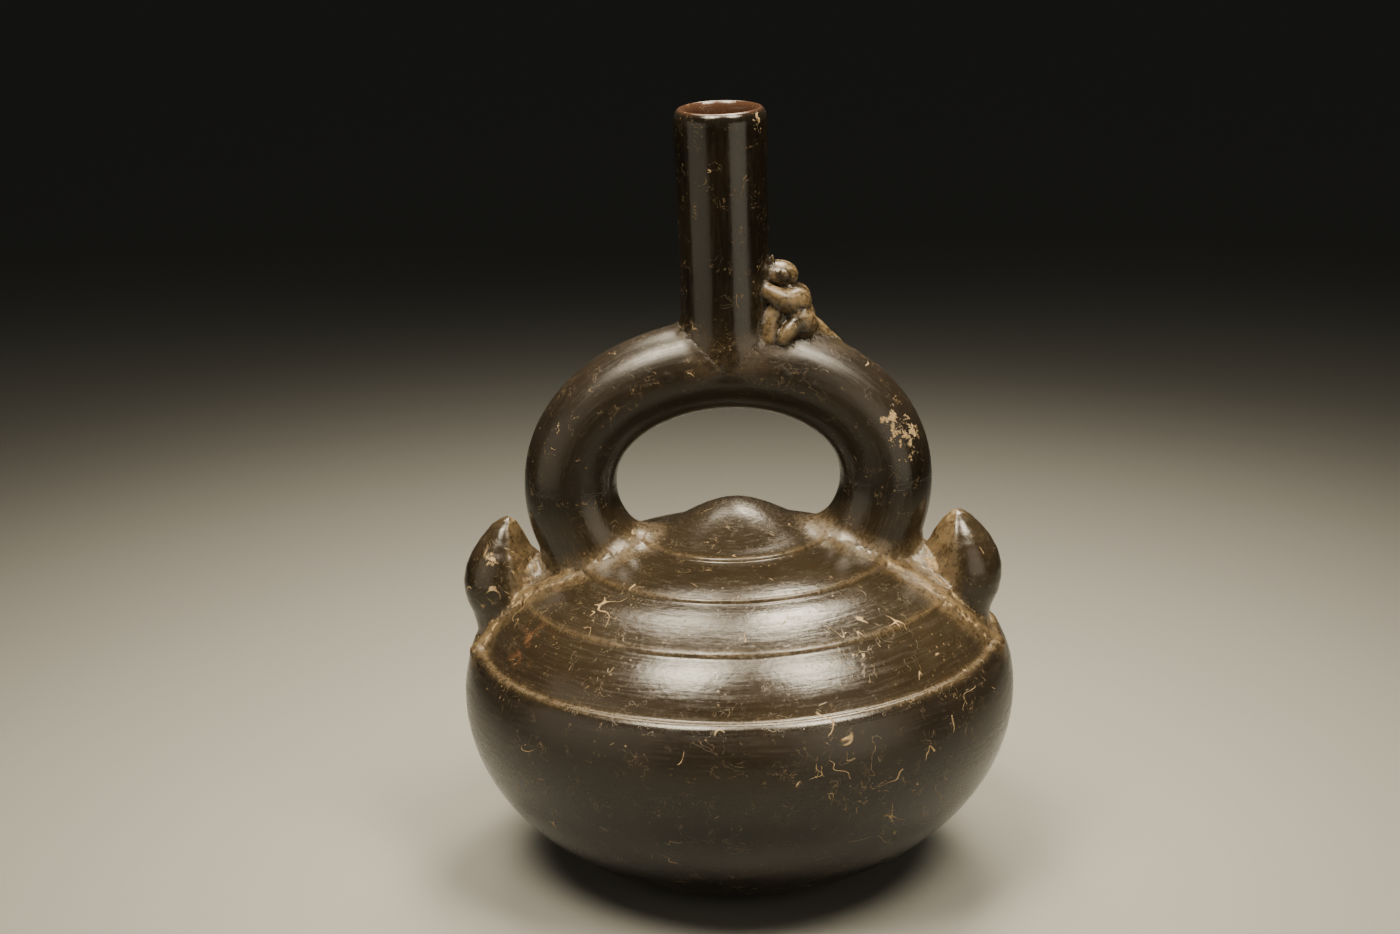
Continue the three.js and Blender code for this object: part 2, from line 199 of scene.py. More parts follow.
@dataclass
class Skin:
    """A closed surface: vertices in mm and triangles that point outward."""

    points: Array
    triangles: Array

    @classmethod
    def from_rings(cls, rings: Array, low: Array, high: Array) -> "Skin":
        """Close a stack of rings with a pole at each end.

        Args:
            rings: rows by columns by 3, each ring running anticlockwise seen from the high end.
            low: the pole before the first ring.
            high: the pole after the last ring.

        Returns:
            The closed surface.
        """
        rows, columns = rings.shape[:2]
        number = np.arange(rows * columns).reshape(rows, columns)
        near, far = number[:-1], number[1:]
        a, b = near.ravel(), np.roll(near, -1, axis=1).ravel()
        c, d = np.roll(far, -1, axis=1).ravel(), far.ravel()
        first, last = number[0], number[-1]
        pole_low = np.full(columns, rows * columns)
        pole_high = pole_low + 1
        triangles = np.concatenate([
            np.stack([a, b, c], 1),
            np.stack([a, c, d], 1),
            np.stack([pole_low, np.roll(first, -1), first], 1),
            np.stack([pole_high, last, np.roll(last, -1)], 1),
        ])
        points = np.concatenate([rings.reshape(-1, 3), [low], [high]])
        return cls(points, triangles)

    def normals(self) -> Array:
        """Unit normals of the vertices, weighted by the area of the triangles round them.

        Returns:
            One unit vector a vertex.
        """
        a, b, c = (self.points[self.triangles[:, k]] for k in range(3))
        face = np.cross(b - a, c - a)
        total = np.zeros_like(self.points)
        for k in range(3):
            np.add.at(total, self.triangles[:, k], face)
        return total / np.maximum(np.linalg.norm(total, axis=1), 1e-12)[:, None]

    def mesh(self, name: str) -> bpy.types.Object:
        """Make a Blender object of this surface, in metres, in the scene.

        Args:
            name: name of the object and its mesh.

        Returns:
            The new object.
        """
        data = bpy.data.meshes.new(name)
        data.from_pydata((self.points * MM).tolist(), [], self.triangles.tolist())
        data.update()
        made = bpy.data.objects.new(name, data)
        bpy.context.scene.collection.objects.link(made)
        return made


# Forms of clay

@dataclass
class Form:
    """One closed form of clay, smoothed toward its neighbours within a reach of blend mm."""

    blend: float

    def distance(self, points: Array) -> Array:
        """Signed distance of points to this form in mm, below zero inside."""
        raise NotImplementedError

    def skin(self) -> Skin:
        """The closed surface of this form before it is smoothed toward its neighbours."""
        raise NotImplementedError

    @cached_property
    def box(self) -> tuple[Array, Array]:
        """Lowest and highest corner of this form's surface."""
        points = self.skin().points
        return points.min(0), points.max(0)

    def blended(self, others: list["Form"]) -> Skin:
        """Surface of this form, swelling toward each neighbour as wet clay smoothed over does.

        A vertex moves out along its normal by t, where t = k/4 (1 - (d - t)/k) squared: d is the
        distance to the neighbour at the moved place and k the smaller blend of the two. Past the
        middle of the joint t stays at k/4, so the two surfaces cross there and nowhere else.

        Args:
            others: all neighbouring forms.

        Returns:
            The swollen surface.
        """
        margin, rounds = 1.5, 5
        skin = self.skin()
        normal = skin.normals()
        move = np.zeros(len(skin.points))
        low, high = skin.points.min(0), skin.points.max(0)
        for other in others:
            k = min(self.blend, other.blend)
            other_low, other_high = other.box
            if np.any(other_low > high + k) or np.any(other_high < low - k):
                continue
            inside = np.all((skin.points > other_low - margin * k)
                            & (skin.points < other_high + margin * k), axis=1)
            if not inside.any():
                continue
            start, way = skin.points[inside], normal[inside]
            t = np.zeros(len(start))
            for _ in range(rounds):
                d = other.distance(start + way * t[:, None])
                t = 0.25 * k * np.clip(1.0 - (d - t) / k, 0.0, 1.0) ** 2
            move[inside] = np.maximum(move[inside], t)
        skin.points = skin.points + normal * move[:, None]
        return skin


@dataclass
class Turned(Form):
    """A form turned on an upright axis from a profile of (radius, height), low pole first.

    Surface: (shift + r(s) cos u, r(s) sin u, z(s)) for the profile place s and the angle u.
    """

    profile: Array
    columns: int
    shift: float = 0.0

    def distance(self, points: Array) -> Array:
        """Signed distance of points to the turned profile.

        Args:
            points: places in mm.

        Returns:
            One distance a place, below zero inside.
        """
        flat = np.stack([np.hypot(points[:, 0] - self.shift, points[:, 1]), points[:, 2]], 1)
        gap, _, segment = nearest(flat, self.profile)
        along = np.diff(self.profile, axis=0)[segment]
        offset = flat - self.profile[segment]
        side = along[:, 0] * offset[:, 1] - along[:, 1] * offset[:, 0]
        return np.where(side > 0.0, -gap, gap)

    def skin(self) -> Skin:
        """The turned surface, closed by its two poles.

        Returns:
            The closed surface.
        """
        angle = np.linspace(0.0, TURN, self.columns, endpoint=False)
        inner = self.profile[1:-1]
        x = self.shift + inner[:, :1] * np.cos(angle)
        y = inner[:, :1] * np.sin(angle)
        z = np.repeat(inner[:, 1:], self.columns, axis=1)
        low, high = (np.array([self.shift, 0.0, height]) for height in self.profile[[0, -1], 1])
        return Skin.from_rings(np.stack([x, y, z], -1), low, high)


@dataclass
class Tube(Form):
    """A round bar of changing radius along a path, with rounded ends.

    Surface: c(s) + r(s) (cos u a(s) + sin u b(s)), where a and b are square to the path c.
    """

    path: Array
    radius: Array
    columns: int

    def distance(self, points: Array) -> Array:
        """Distance to the path less the radius at the nearest place on it."""
        gap, place, _ = nearest(points, self.path)
        return gap - np.interp(place, np.arange(len(self.path)), self.radius)

    def skin(self) -> Skin:
        """The bar's surface, its ends closed by quarter-round caps.

        Returns:
            The closed surface.
        """
        path, radius = self.path, self.radius
        along = np.gradient(path, axis=0)
        along /= np.linalg.norm(along, axis=1)[:, None]
        lead, spare_lead, too_close = np.array([0.0, 1.0, 0.0]), np.array([0.3, 0.1, 0.95]), 0.9
        if np.abs(along @ lead).max() > too_close:
            lead = spare_lead
        a = np.cross(lead, along)
        a /= np.linalg.norm(a, axis=1)[:, None]
        b = np.cross(along, a)
        cap = np.radians([20.0, 45.0, 70.0])
        low = path[0] - along[0] * radius[0] * np.cos(cap)[:, None]
        high = path[-1] + along[-1] * radius[-1] * np.cos(cap[::-1])[:, None]
        centres = np.concatenate([low, path, high])
        radii = np.concatenate([radius[0] * np.sin(cap), radius, radius[-1] * np.sin(cap[::-1])])
        a = np.concatenate([np.repeat(a[:1], len(cap), 0), a, np.repeat(a[-1:], len(cap), 0)])
        b = np.concatenate([np.repeat(b[:1], len(cap), 0), b, np.repeat(b[-1:], len(cap), 0)])
        angle = np.linspace(0.0, TURN, self.columns, endpoint=False)[None, :, None]
        rings = centres[:, None] + radii[:, None, None] * (
            np.cos(angle) * a[:, None] + np.sin(angle) * b[:, None])
        return Skin.from_rings(rings, path[0] - along[0] * radius[0], path[-1] + along[-1] * radius[-1])


@dataclass
class Ball(Form):
    """A ball with three radii, tilted about Y.

    Surface: centre + (rx sin v cos u, ry sin v sin u, -rz cos v), turned by the tilt.
    """

    centre: Array
    radii: Array
    tilt: float = 0.0
    columns: int = 28

    def distance(self, points: Array) -> Array:
        """Near distance to the ball, from its own upright axis."""
        return oval_distance(tilted(points - self.centre, -self.tilt), self.radii)

    def skin(self) -> Skin:
        """The tilted ball's surface.

        Returns:
            The closed surface.
        """
        v = np.linspace(0.0, np.pi, self.columns // 2 + 1)[:, None]
        u = np.linspace(0.0, TURN, self.columns, endpoint=False)[None]
        p = np.stack([np.sin(v) * np.cos(u), np.sin(v) * np.sin(u), 0.0 * u - np.cos(v)], -1)
        p = self.centre + tilted(p * self.radii, self.tilt)
        return Skin.from_rings(p[1:-1], p[0, 0], p[-1, 0])


# The vessel's own shapes, in mm, upright, before it leans

@dataclass
class Chamber:
    """Round body: flat ground base, full bowl, raised rim and a stepped roof with a low peak.

    Each band of the roof is (width, rise) up to the foot of the next step. The ridge's stations, the
    rise of the groove behind it and the start of the roof are in widths of the ridge.
    """

    base_radius: float = 30.0
    flare_angle: float = 17.0
    base_sweep: float = 25.0
    widest_radius: float = 77.2
    widest_height: float = 52.0
    belly_sweep: float = 26.3
    grinding: float = 1.2
    shoulder_rise: float = 14.2
    shoulder_inset: float = 3.7
    shoulder_fullness: float = 0.62
    ridge_width: float = 2.6
    ridge_height: float = 0.9
    ridge_stations: tuple[float, float, float] = (0.42, 0.95, 1.5)
    groove_rise: float = 1.55
    groove_depth: float = 0.5
    roof_start: tuple[float, float] = (-1.9, 2.05)
    bands: tuple[tuple[float, float], ...] = ((13.3, 14.4), (16.6, 7.9), (17.3, 4.6))
    step_height: float = 1.2
    step_ledge: float = 0.5
    band_crown: float = 0.75
    peak_dome: float = 6.2
    peak_flare: float = 3.1
    peak_width: float = 1.15
    wall: float = 4.5
    blend: float = 7.5
    softness: float = 0.34
    rows: int = 178
    columns: int = 264
    gather: float = 9.0

    @property
    def rim(self) -> tuple[float, float]:
        """Radius and height of the rim's crest line."""
        return self.widest_radius - self.shoulder_inset, self.widest_height + self.shoulder_rise

    def bowl(self, count: int) -> Array:
        """Cubic Bezier curve from the foot of the bowl up to the widest place.

        Args:
            count: how many points to return.

        Returns:
            Points as (radius, height).
        """
        flare = np.radians(self.flare_angle)
        p0 = np.array([self.base_radius, 0.0])
        p1 = p0 + self.base_sweep * np.array([np.cos(flare), np.sin(flare)])
        p2 = np.array([self.widest_radius, self.widest_height - self.belly_sweep])
        p3 = np.array([self.widest_radius, self.widest_height])
        t = np.linspace(0.0, 1.0, count)[:, None]
        return (1 - t) ** 3 * p0 + 3 * (1 - t) ** 2 * t * p1 + 3 * (1 - t) * t ** 2 * p2 + t ** 3 * p3

    def shoulder(self, count: int) -> Array:
        """Quadratic Bezier curve from the widest place up to the rim's crest line.

        Args:
            count: how many points to return.

        Returns:
            Points as (radius, height).
        """
        p0 = np.array([self.widest_radius, self.widest_height])
        p1 = p0 + np.array([0.0, self.shoulder_fullness * self.shoulder_rise])
        t = np.linspace(0.0, 1.0, count)[:, None]
        return (1 - t) ** 2 * p0 + 2 * (1 - t) * t * p1 + t ** 2 * np.array(self.rim)

    def corners(self) -> Array:
        """Rim crest, then the top corner of each step, as (radius, height).

        Returns:
            One row a corner.
        """
        corner = np.array(self.rim)
        found = [corner]
        for width, rise in self.bands:
            corner = corner + np.array([-width, rise + self.step_height])
            found.append(corner)
        return np.array(found)

    def outline(self) -> Array:
        """Whole outer profile from the underside's middle to the peak, softened at its corners.

        Each band rises in a straight line with a parabolic crown. The peak is half a cosine wave
        on a cone.

        Returns:
            Points as (radius, height), closer together where the profile bends.
        """
        radius, height = self.rim
        base = self.base_radius - 2 * self.grinding
        ground = np.array([[0.0, -self.grinding], [base, -self.grinding]])
        front, back, behind = np.array(self.ridge_stations) * self.ridge_width
        ridge = np.array([
            [radius - front, height + self.ridge_height],
            [radius - back, height + self.ridge_height],
            [radius - behind, height + self.groove_rise * self.ridge_width - self.groove_depth],
        ])
        corners = self.corners()
        roof = []
        share = np.linspace(0.0, 1.0, 24)[:, None]
        for index in range(len(self.bands)):
            outer, inner = corners[index].copy(), corners[index + 1]
            if index == 0:
                outer += np.array(self.roof_start) * self.ridge_width
            foot = inner - np.array([0.0, self.step_height])
            crown = 4.0 * self.band_crown * share * (1.0 - share)
            roof.append(outer + (foot - outer) * share + crown * np.array([0.0, 1.0]))
            corners[index + 1, 0] -= self.step_ledge
        edge = corners[-1]
        share = np.linspace(1.0, 0.0, 40)
        wave = self.peak_dome * (0.5 + 0.5 * np.cos(np.pi * share ** self.peak_width))
        wave += self.peak_flare * (1.0 - share)
        roof.append(np.stack([edge[0] * share, edge[1] + wave], 1))
        line = np.concatenate([ground, self.bowl(70), self.shoulder(20)[1:], ridge, *roof])
        return resample(soften(line, 0.1, self.softness), self.rows, self.gather)

    def form(self) -> Turned:
        """The outside of the chamber."""
        return Turned(self.blend, self.outline(), self.columns)

    def hollow(self) -> Turned:
        """The chamber's hollow: the outline moved inward by the wall, plainer under the roof.

        Returns:
            The form that is cut out.
        """
        line = np.concatenate([self.bowl(26), self.shoulder(8)[1:-2]])
        along = np.gradient(line, axis=0)
        along /= np.linalg.norm(along, axis=1)[:, None]
        wall = line + self.wall * np.stack([-along[:, 1], along[:, 0]], 1)
        corners = self.corners()[1:] - np.array([0.35 * self.wall, self.step_height + self.wall])
        top = [[0.0, self.corners()[-1, 1] + self.peak_dome - 1.2 * self.wall]]
        line = np.concatenate([[[0.0, self.wall]], wall[2:], corners, top])
        return Turned(0.0, line, 72)


@dataclass
class Stirrup:
    """Hollow arched handle: two half ellipses of one width, the lower one cut short at the feet."""

    leg_radius: float = 13.1
    crown_radius: float = 12.4
    taper: tuple[float, float] = (85.0, 145.0)
    wall: float = 3.8
    half_span: float = 43.7
    waist_height: float = 111.1
    crown_rise: float = 33.5
    leg_drop: float = 34.5
    squareness: float = 0.92
    foot_angle: float = 48.0
    shift: float = -1.6
    bore_ease: float = 0.4
    bore_reach: float = 7.0
    blend: float = 6.5
    rows: int = 150
    columns: int = 76

    def path(self, extra: float, count: int) -> Array:
        """Centre line, each foot longer by an angle of extra degrees.

        For the angle a from one foot to the other: x = shift + half span cos a, and z is the waist
        plus the crown rise times sin a to the power squareness above it, or the drop times sin a below.

        Args:
            extra: how far each foot goes on, in degrees.
            count: how many points to return.

        Returns:
            Points in mm, the left foot first.
        """
        foot = np.radians(self.foot_angle + extra)
        a = np.linspace(np.pi + foot, -foot, count)
        rise = np.sin(a)
        up = self.crown_rise * np.maximum(rise, 0.0) ** self.squareness
        z = self.waist_height + np.where(rise > 0.0, up, self.leg_drop * rise)
        return np.stack([self.shift + self.half_span * np.cos(a), np.zeros(count), z], 1)

    def form(self) -> Tube:
        """The outside of the stirrup, its radius changing over the heights of the taper.

        Returns:
            The form that is joined.
        """
        path = resample(self.path(0.0, 6 * self.rows), self.rows)
        low, high = self.taper
        share = np.clip((path[:, 2] - low) / (high - low), 0.0, 1.0)
        radius = self.leg_radius + (self.crown_radius - self.leg_radius) * share
        return Tube(self.blend, path, radius, self.columns)

    def bore(self) -> Tube:
        """The bore from the chamber's hollow over the crown and down again.

        Returns:
            The form that is cut out.
        """
        path = self.path(self.bore_reach, 80)
        radius = self.crown_radius - self.wall + self.bore_ease
        return Tube(0.0, path, np.full(len(path), radius), 36)


@dataclass
class Spout:
    """Upright tube on the crown, with a rounded lip that is bevelled inside."""

    foot_radius: float = 12.5
    mouth_radius: float = 12.7
    foot_height: float = 144.6
    mouth_height: float = 215.35
    wall: float = 3.0
    shift: float = -1.0
    lip_rounding: float = 1.9
    lip_height: float = 3.6
    bevel_width: float = 1.3
    bevel_height: float = 2.4
    waist: float = 0.35
    blend: float = 3.2
    columns: int = 76

    def form(self) -> Turned:
        """The outside of the spout: nearly straight, a little narrower at half height.

        Returns:
            The form that is joined.
        """
        share = np.linspace(0.0, 1.0, 44)
        height = self.foot_height + (self.mouth_height - self.lip_height - self.foot_height) * share
        radius = self.foot_radius + (self.mouth_radius - self.foot_radius) * share
        radius = radius - self.waist * np.sin(np.pi * share)
        turn = np.linspace(0.0, 0.5 * np.pi, 11)[1:]
        lip = np.stack([self.mouth_radius - self.lip_rounding * (1.0 - np.cos(turn)),
                        self.mouth_height - self.lip_height * (1.0 - np.sin(turn))], 1)
        line = np.concatenate([[[0.0, self.foot_height]], np.stack([radius, height], 1), lip,
                               [[0.0, self.mouth_height]]])
        return Turned(self.blend, line, self.columns, self.shift)

    def bore(self) -> Turned:
        """The bore of the spout, widening at the mouth in a rounded bevel, and on past the lip.

        Returns:
            The form that is cut out.
        """
        inner = self.mouth_radius - self.wall
        wide, top = inner + self.bevel_width, self.mouth_height
        past = top + 6.0
        turn = np.linspace(0.0, 0.5 * np.pi, 8)
        bevel = np.stack([inner + self.bevel_width * (1.0 - np.cos(turn)),
                          top - self.bevel_height + self.bevel_height * np.sin(turn)], 1)
        foot = [[0.0, self.foot_height], [self.foot_radius - self.wall, self.foot_height]]
        line = np.concatenate([foot, bevel, [[wide, past], [0.0, past]]])
        return Turned(0.0, resample(line, 60, 2.0), self.columns, self.shift)


@dataclass
class Lug:
    """Pointed pod on the shoulder, keeled down its inner front, with its web to the stirrup's foot.

    The pod stands on the side -1 or 1, moved along Y by the offset and up by the lift. Its outlines
    are (x, height) from the foot up to the tip, and so are the ends of the web. The ridge is a line
    of places in front of the pod, and the one behind is its mirror image, set in by the back shift.
    """

    side: int
    offset: float
    lift: float
    tip: tuple[float, float]
    outer: tuple[tuple[float, float], ...]
    inner: tuple[tuple[float, float], ...]
    ridge: tuple[tuple[float, float, float], ...]
    web_end: tuple[float, float]
    web_start: tuple[float, float] = (62.5, 83.5)
    web_radius: float = 6.8
    web_taper: float = 0.8
    web_blend: float = 6.5
    ridge_radius: float = 1.2
    ridge_swell: float = 0.5
    back_shift: float = 2.0
    foot: float = 62.5
    depth: float = 9.4
    full_half: float = 9.0
    fullness: float = 0.9
    most: float = 1.4
    keel: float = 0.3
    blend: float = 4.2
    rows: int = 60
    columns: int = 64

    def pod(self) -> "Pod":
        """The egg-shaped pod between its outer and inner outlines."""
        return Pod(self.blend, self)

    def web(self) -> Tube:
        """The web: a tapering bar from inside the pod down to the foot of the stirrup.

        Returns:
            The form that is joined.
        """
        share = np.linspace(0.0, 1.0, 26)[:, None]
        start = np.array([self.side * self.web_start[0], self.offset, self.web_start[1]])
        end = np.array([self.side * self.web_end[0], 0.3 * self.offset, self.web_end[1]])
        path = start + (end - start) * share
        return Tube(self.web_blend, path, self.web_radius - self.web_taper * share[:, 0], 40)

    def ridges(self) -> list[Tube]:
        """Thin raised lines of clay from the rim past the pod to the stirrup, in front and behind.

        Returns:
            The front ridge and the back ridge.
        """
        found = []
        for face, shift in ((1.0, 0.0), (-1.0, self.back_shift)):
            points = np.array(self.ridge)
            points[:, 0] -= self.side * shift
            points[:, 1] = self.offset + (points[:, 1] - self.offset) * face
            path = soften(points, 1.0, 3.0)
            share = np.linspace(0.0, 1.0, len(path))
            radius = self.ridge_radius + self.ridge_swell * np.sin(np.pi * share) ** 2
            found.append(Tube(self.blend, path, radius, 20))
        return found


@dataclass
class Pod(Form):
    """Pod of a lug: level ovals between two outlines.

    At each height the oval has its middle half way between the outer and the inner outline, and half
    their gap as its half width h. Its half depth is the lug's depth times s to the power fullness,
    where s is h / full_half but no more than the value most, so the pod tapers to a point. From the
    keel inward the oval is cut down to a flat face.
    """

    lug: Lug

    def section(self, height: Array) -> tuple[Array, Array, Array]:
        """Middle, half width and half depth of the level oval at a height.

        Args:
            height: heights in mm.

        Returns:
            The three measures at each height, in mm.
        """
        lug, thinnest = self.lug, 0.02
        outer = np.array(lug.outer)
        inner = np.array(lug.inner)
        far = np.interp(height - lug.lift, outer[:, 1], outer[:, 0])
        near = np.interp(height - lug.lift, inner[:, 1], inner[:, 0])
        half = np.maximum(np.abs(far - near) / 2.0, thinnest)
        depth = lug.depth * np.minimum(half / lug.full_half, lug.most) ** lug.fullness
        return (far + near) / 2.0, half, depth

    def skin(self) -> Skin:
        """The pod's surface, closed at its foot and at its pointed tip.

        Returns:
            The closed surface.
        """
        lug = self.lug
        low, high = lug.foot, lug.tip[1] + lug.lift
        share = np.linspace(0.0, 1.0, lug.rows)
        height = low + (high - low) * np.sin(0.5 * np.pi * share)
        middle, half, depth = self.section(height)
        angle = np.linspace(0.0, TURN, lug.columns, endpoint=False)
        cos, sin = np.cos(angle), np.sin(angle)
        inward = -lug.side * cos
        flat = np.sqrt(1.0 - lug.keel ** 2) * ((1.0 - inward) / (1.0 - lug.keel)) ** lug.fullness
        sin = np.where(inward > lug.keel, np.sign(sin) * flat, sin)
        x = middle[:, None] + half[:, None] * cos
        y = lug.offset + depth[:, None] * sin
        z = np.repeat(height[:, None], lug.columns, 1)
        bottom = np.array([middle[0], lug.offset, low - 0.4])
        top = np.array([middle[-1], lug.offset, high + 0.05])
        return Skin.from_rings(np.stack([x, y, z], -1), bottom, top)

    def distance(self, points: Array) -> Array:
        """Near distance to the pod, from the near distance to the oval at that height.

        Args:
            points: places in mm.

        Returns:
            One distance a place, below zero inside.
        """
        lug, slant = self.lug, 0.9
        low, high = lug.foot, lug.tip[1] + lug.lift
        middle, half, depth = self.section(np.clip(points[:, 2], low, high - 0.5))
        level = np.stack([points[:, 0] - middle, points[:, 1] - lug.offset], 1)
        flat = oval_distance(level, np.stack([half, depth], 1))
        over = np.maximum(points[:, 2] - high, low - points[:, 2])
        return np.where(over > 0.0, np.hypot(over, np.maximum(flat, 0.0)), flat * slant)


@dataclass
class Animal:
    """Small seated animal that leans on the spout, astride the stirrup."""

    unit: float = 17.5
    spout_side: float = 11.5
    seat: float = 154.6
    blend: float = 1.7

    def at(self, x: float, y: float, z: float) -> Array:
        """A place given in shares of the animal's height, from the spout's side and the seat."""
        return np.array([self.spout_side + x * self.unit, y * self.unit, self.seat + z * self.unit])

    def size(self, x: float, y: float, z: float) -> Array:
        """Three radii in shares of the animal's height."""
        return np.array([x, y, z]) * self.unit

    def limb(self, places: list[Array], radii: list[float], blend: float | None = None) -> Tube:
        """A bent limb through places, its radii in shares of the animal's height.

        Args:
            places: joints of the limb in mm.
            radii: radii at equal steps along it.
            blend: reach of its smoothing in mm, or None for the animal's own.

        Returns:
            The limb.
        """
        rows = 16
        line = soften(np.array(places), 0.25, 0.9)
        share = np.linspace(0.0, 1.0, len(line))
        radius = np.interp(share, np.linspace(0.0, 1.0, len(radii)), radii) * self.unit
        path = resample(line, rows)
        radius = np.interp(np.linspace(0.0, 1.0, rows), share, radius)
        return Tube(self.blend if blend is None else blend, path, radius, 20)

    def forms(self) -> list[Form]:
        """Body and head with their limbs, and the clay smoothed down behind the animal.

        Returns:
            All forms of the animal.
        """
        at, size = self.at, self.size
        body = Ball(self.blend, at(0.27, 0, 0.36), size(0.3, 0.32, 0.42), -20, 40)
        head = Ball(1.4, at(0.14, 0, 0.83), size(0.29, 0.28, 0.22), 4, 40)
        muzzle = Ball(1.4, at(-0.02, 0, 0.78), size(0.2, 0.21, 0.14), 18)
        rump = Ball(2.6, at(0.05, 0, 0.16), size(0.34, 0.42, 0.38), 0, 40)
        tuft = self.limb([at(0.0, -0.08, 0.88), at(0.01, -0.08, 1.0), at(0.03, -0.08, 1.13)],
                         [0.1, 0.06, 0.02], 1.0)
        behind = self.limb([at(0.42, 0, 0.0), at(0.66, 0, -0.06), at(0.95, 0, -0.26)],
                           [0.28, 0.17, 0.07], 3.4)
        found: list[Form] = [body, head, muzzle, rump, tuft, behind]
        for side in (-1.0, 1.0):
            ear = Ball(0.8, at(0.2, 0.26 * side, 0.86), size(0.08, 0.05, 0.09))
            arm = self.limb([at(0.42, 0.18 * side, 0.44), at(0.22, 0.34 * side, 0.46),
                             at(-0.1, 0.34 * side, 0.64)], [0.2, 0.17, 0.13], 2.0)
            thigh = Ball(1.6, at(0.44, 0.26 * side, 0.12), size(0.25, 0.22, 0.27), -24, 36)
            shin = self.limb([at(0.02, 0.34 * side, 0.32), at(-0.06, 0.4 * side, 0.14),
                              at(-0.06, 0.42 * side, -0.1)], [0.12, 0.13, 0.13], 2.2)
            foot = self.limb([at(0.36, 0.38 * side, 0.1), at(0.24, 0.44 * side, 0.02),
                              at(0.14, 0.46 * side, -0.1)], [0.13, 0.13, 0.12], 1.6)
            found += [ear, arm, thigh, shin, foot]
        return found


@dataclass
class Vessel:
    """The whole vessel, joined of its forms, hollowed, leaned and ground flat."""

    chamber: Chamber = field(default_factory=Chamber)
    stirrup: Stirrup = field(default_factory=Stirrup)
    spout: Spout = field(default_factory=Spout)
    animal: Animal = field(default_factory=Animal)
    lean: float = 1.7
    uneven: float = 0.22
    warp_start: float = 40.0
    back_sink: float = 1.6

    def lugs(self) -> list[Lug]:
        """The left and the right lug, each as its own outlines.

        Returns:
            Left lug, right lug.
        """
        left = Lug(
            side=-1, offset=4.0, lift=-1.2, tip=(-63.2, 103.0), web_end=(43.5, 83.5),
            outer=((-73.5, 62.0), (-72.7, 69.2), (-74.3, 75.8), (-75.6, 78.8), (-76.3, 81.8),
                   (-76.5, 84.8), (-75.6, 89.2), (-74.0, 92.7), (-71.6, 96.4), (-68.1, 100.6),
                   (-65.2, 102.5), (-63.2, 103.1)),
            inner=((-62.0, 62.0), (-57.0, 72.0), (-55.0, 80.0), (-54.6, 86.0), (-55.9, 92.9),
                   (-57.2, 94.4), (-59.3, 98.8), (-61.1, 101.8), (-62.6, 102.9), (-63.2, 103.1)),
            ridge=((-73.4, -7.0, 66.6), (-66.5, -5.5, 73.4), (-61.5, -6.0, 79.0), (-55.0, -8.5, 84.0),
                   (-50.0, -11.0, 87.0), (-44.5, -12.0, 89.0), (-38.5, -9.5, 91.5)))
        right = Lug(
            side=1, offset=-4.5, lift=1.3, tip=(61.6, 100.8), web_end=(43.5, 86.5),
            outer=((69.5, 62.0), (69.4, 69.5), (71.0, 73.4), (73.0, 77.7), (73.8, 81.6), (73.8, 85.1),
                   (72.8, 89.0), (70.7, 93.0), (68.2, 96.2), (65.6, 98.8), (63.6, 100.3), (61.6, 100.9)),
            inner=((58.0, 62.0), (54.0, 72.0), (52.6, 80.0), (52.6, 86.0), (53.6, 92.2), (55.3, 95.5),
                   (57.3, 98.3), (59.4, 100.2), (60.8, 100.8), (61.6, 100.9)),
            ridge=((71.9, -14.5, 66.6), (65.5, -18.0, 71.6), (60.0, -20.5, 77.0), (54.8, -20.5, 82.0),
                   (49.0, -18.0, 85.6), (43.5, -14.5, 88.6), (36.5, -10.0, 91.5)))
        return [left, right]

    def join(self) -> tuple[bpy.types.Object, list[Form]]:
        """Join all outsides and cut all hollows.

        Returns:
            The joined object, upright, and the forms of its outside.
        """
        forms: list[Form] = [self.chamber.form(), self.stirrup.form(), self.spout.form()]
        for lug in self.lugs():
            forms += [lug.pod(), lug.web(), *lug.ridges()]
        forms += self.animal.forms()
        outsides = []
        for form in forms:
            others = [other for other in forms if other is not form]
            outsides.append(form.blended(others).mesh("outside"))
        whole = outsides[0]
        for part in outsides[1:]:
            combine(whole, part, Joint.UNION)
        hollow = self.chamber.hollow().skin().mesh("hollow")
        for bore in (self.stirrup.bore(), self.spout.bore()):
            combine(hollow, bore.skin().mesh("bore"), Joint.UNION)
        combine(whole, hollow, Joint.CUT)
        return whole, forms

    def stand(self, upright: Array) -> Array:
        """Warp, lean and ground the joined vessel.

        The warp adds low sine waves of the place, as hand-built clay has, and sinks the roof behind
        the stirrup. The lean turns about Y, and whatever lies below the ground is raised to it.

        Args:
            upright: vertices in mm.

        Returns:
            Vertices in mm as the vessel stands.
        """
        x, y, z = upright.T
        rise = np.clip(z / self.warp_start, 0.0, 1.0)
        a = self.uneven * rise
        wx = a * (np.sin(y / 19.0 + 0.8) * 0.6 + np.sin(z / 23.0 + 1.9) * 0.4)
        wy = a * (np.sin(x / 21.0 + 2.1) * 0.6 + np.sin(z / 17.0 + 0.3) * 0.4)
        wz = a * np.sin(x / 18.0 + 1.1) * np.cos(y / 22.0 + 0.4)
        behind = smooth(2.0, 24.0, y)
        on_roof = smooth(64.0, 42.0, np.hypot(x, y)) * smooth(125.0, 106.0, z)
        wz = wz - self.back_sink * behind * on_roof * rise
        leaned = tilted(np.stack([x + wx, y + wy, z + wz], 1), -self.lean)
        leaned[:, 2] = np.maximum(leaned[:, 2], 0.0)
        return leaned


class Joint(Enum):
    """How one solid is put together with another."""

    UNION = "UNION"
    CUT = "DIFFERENCE"


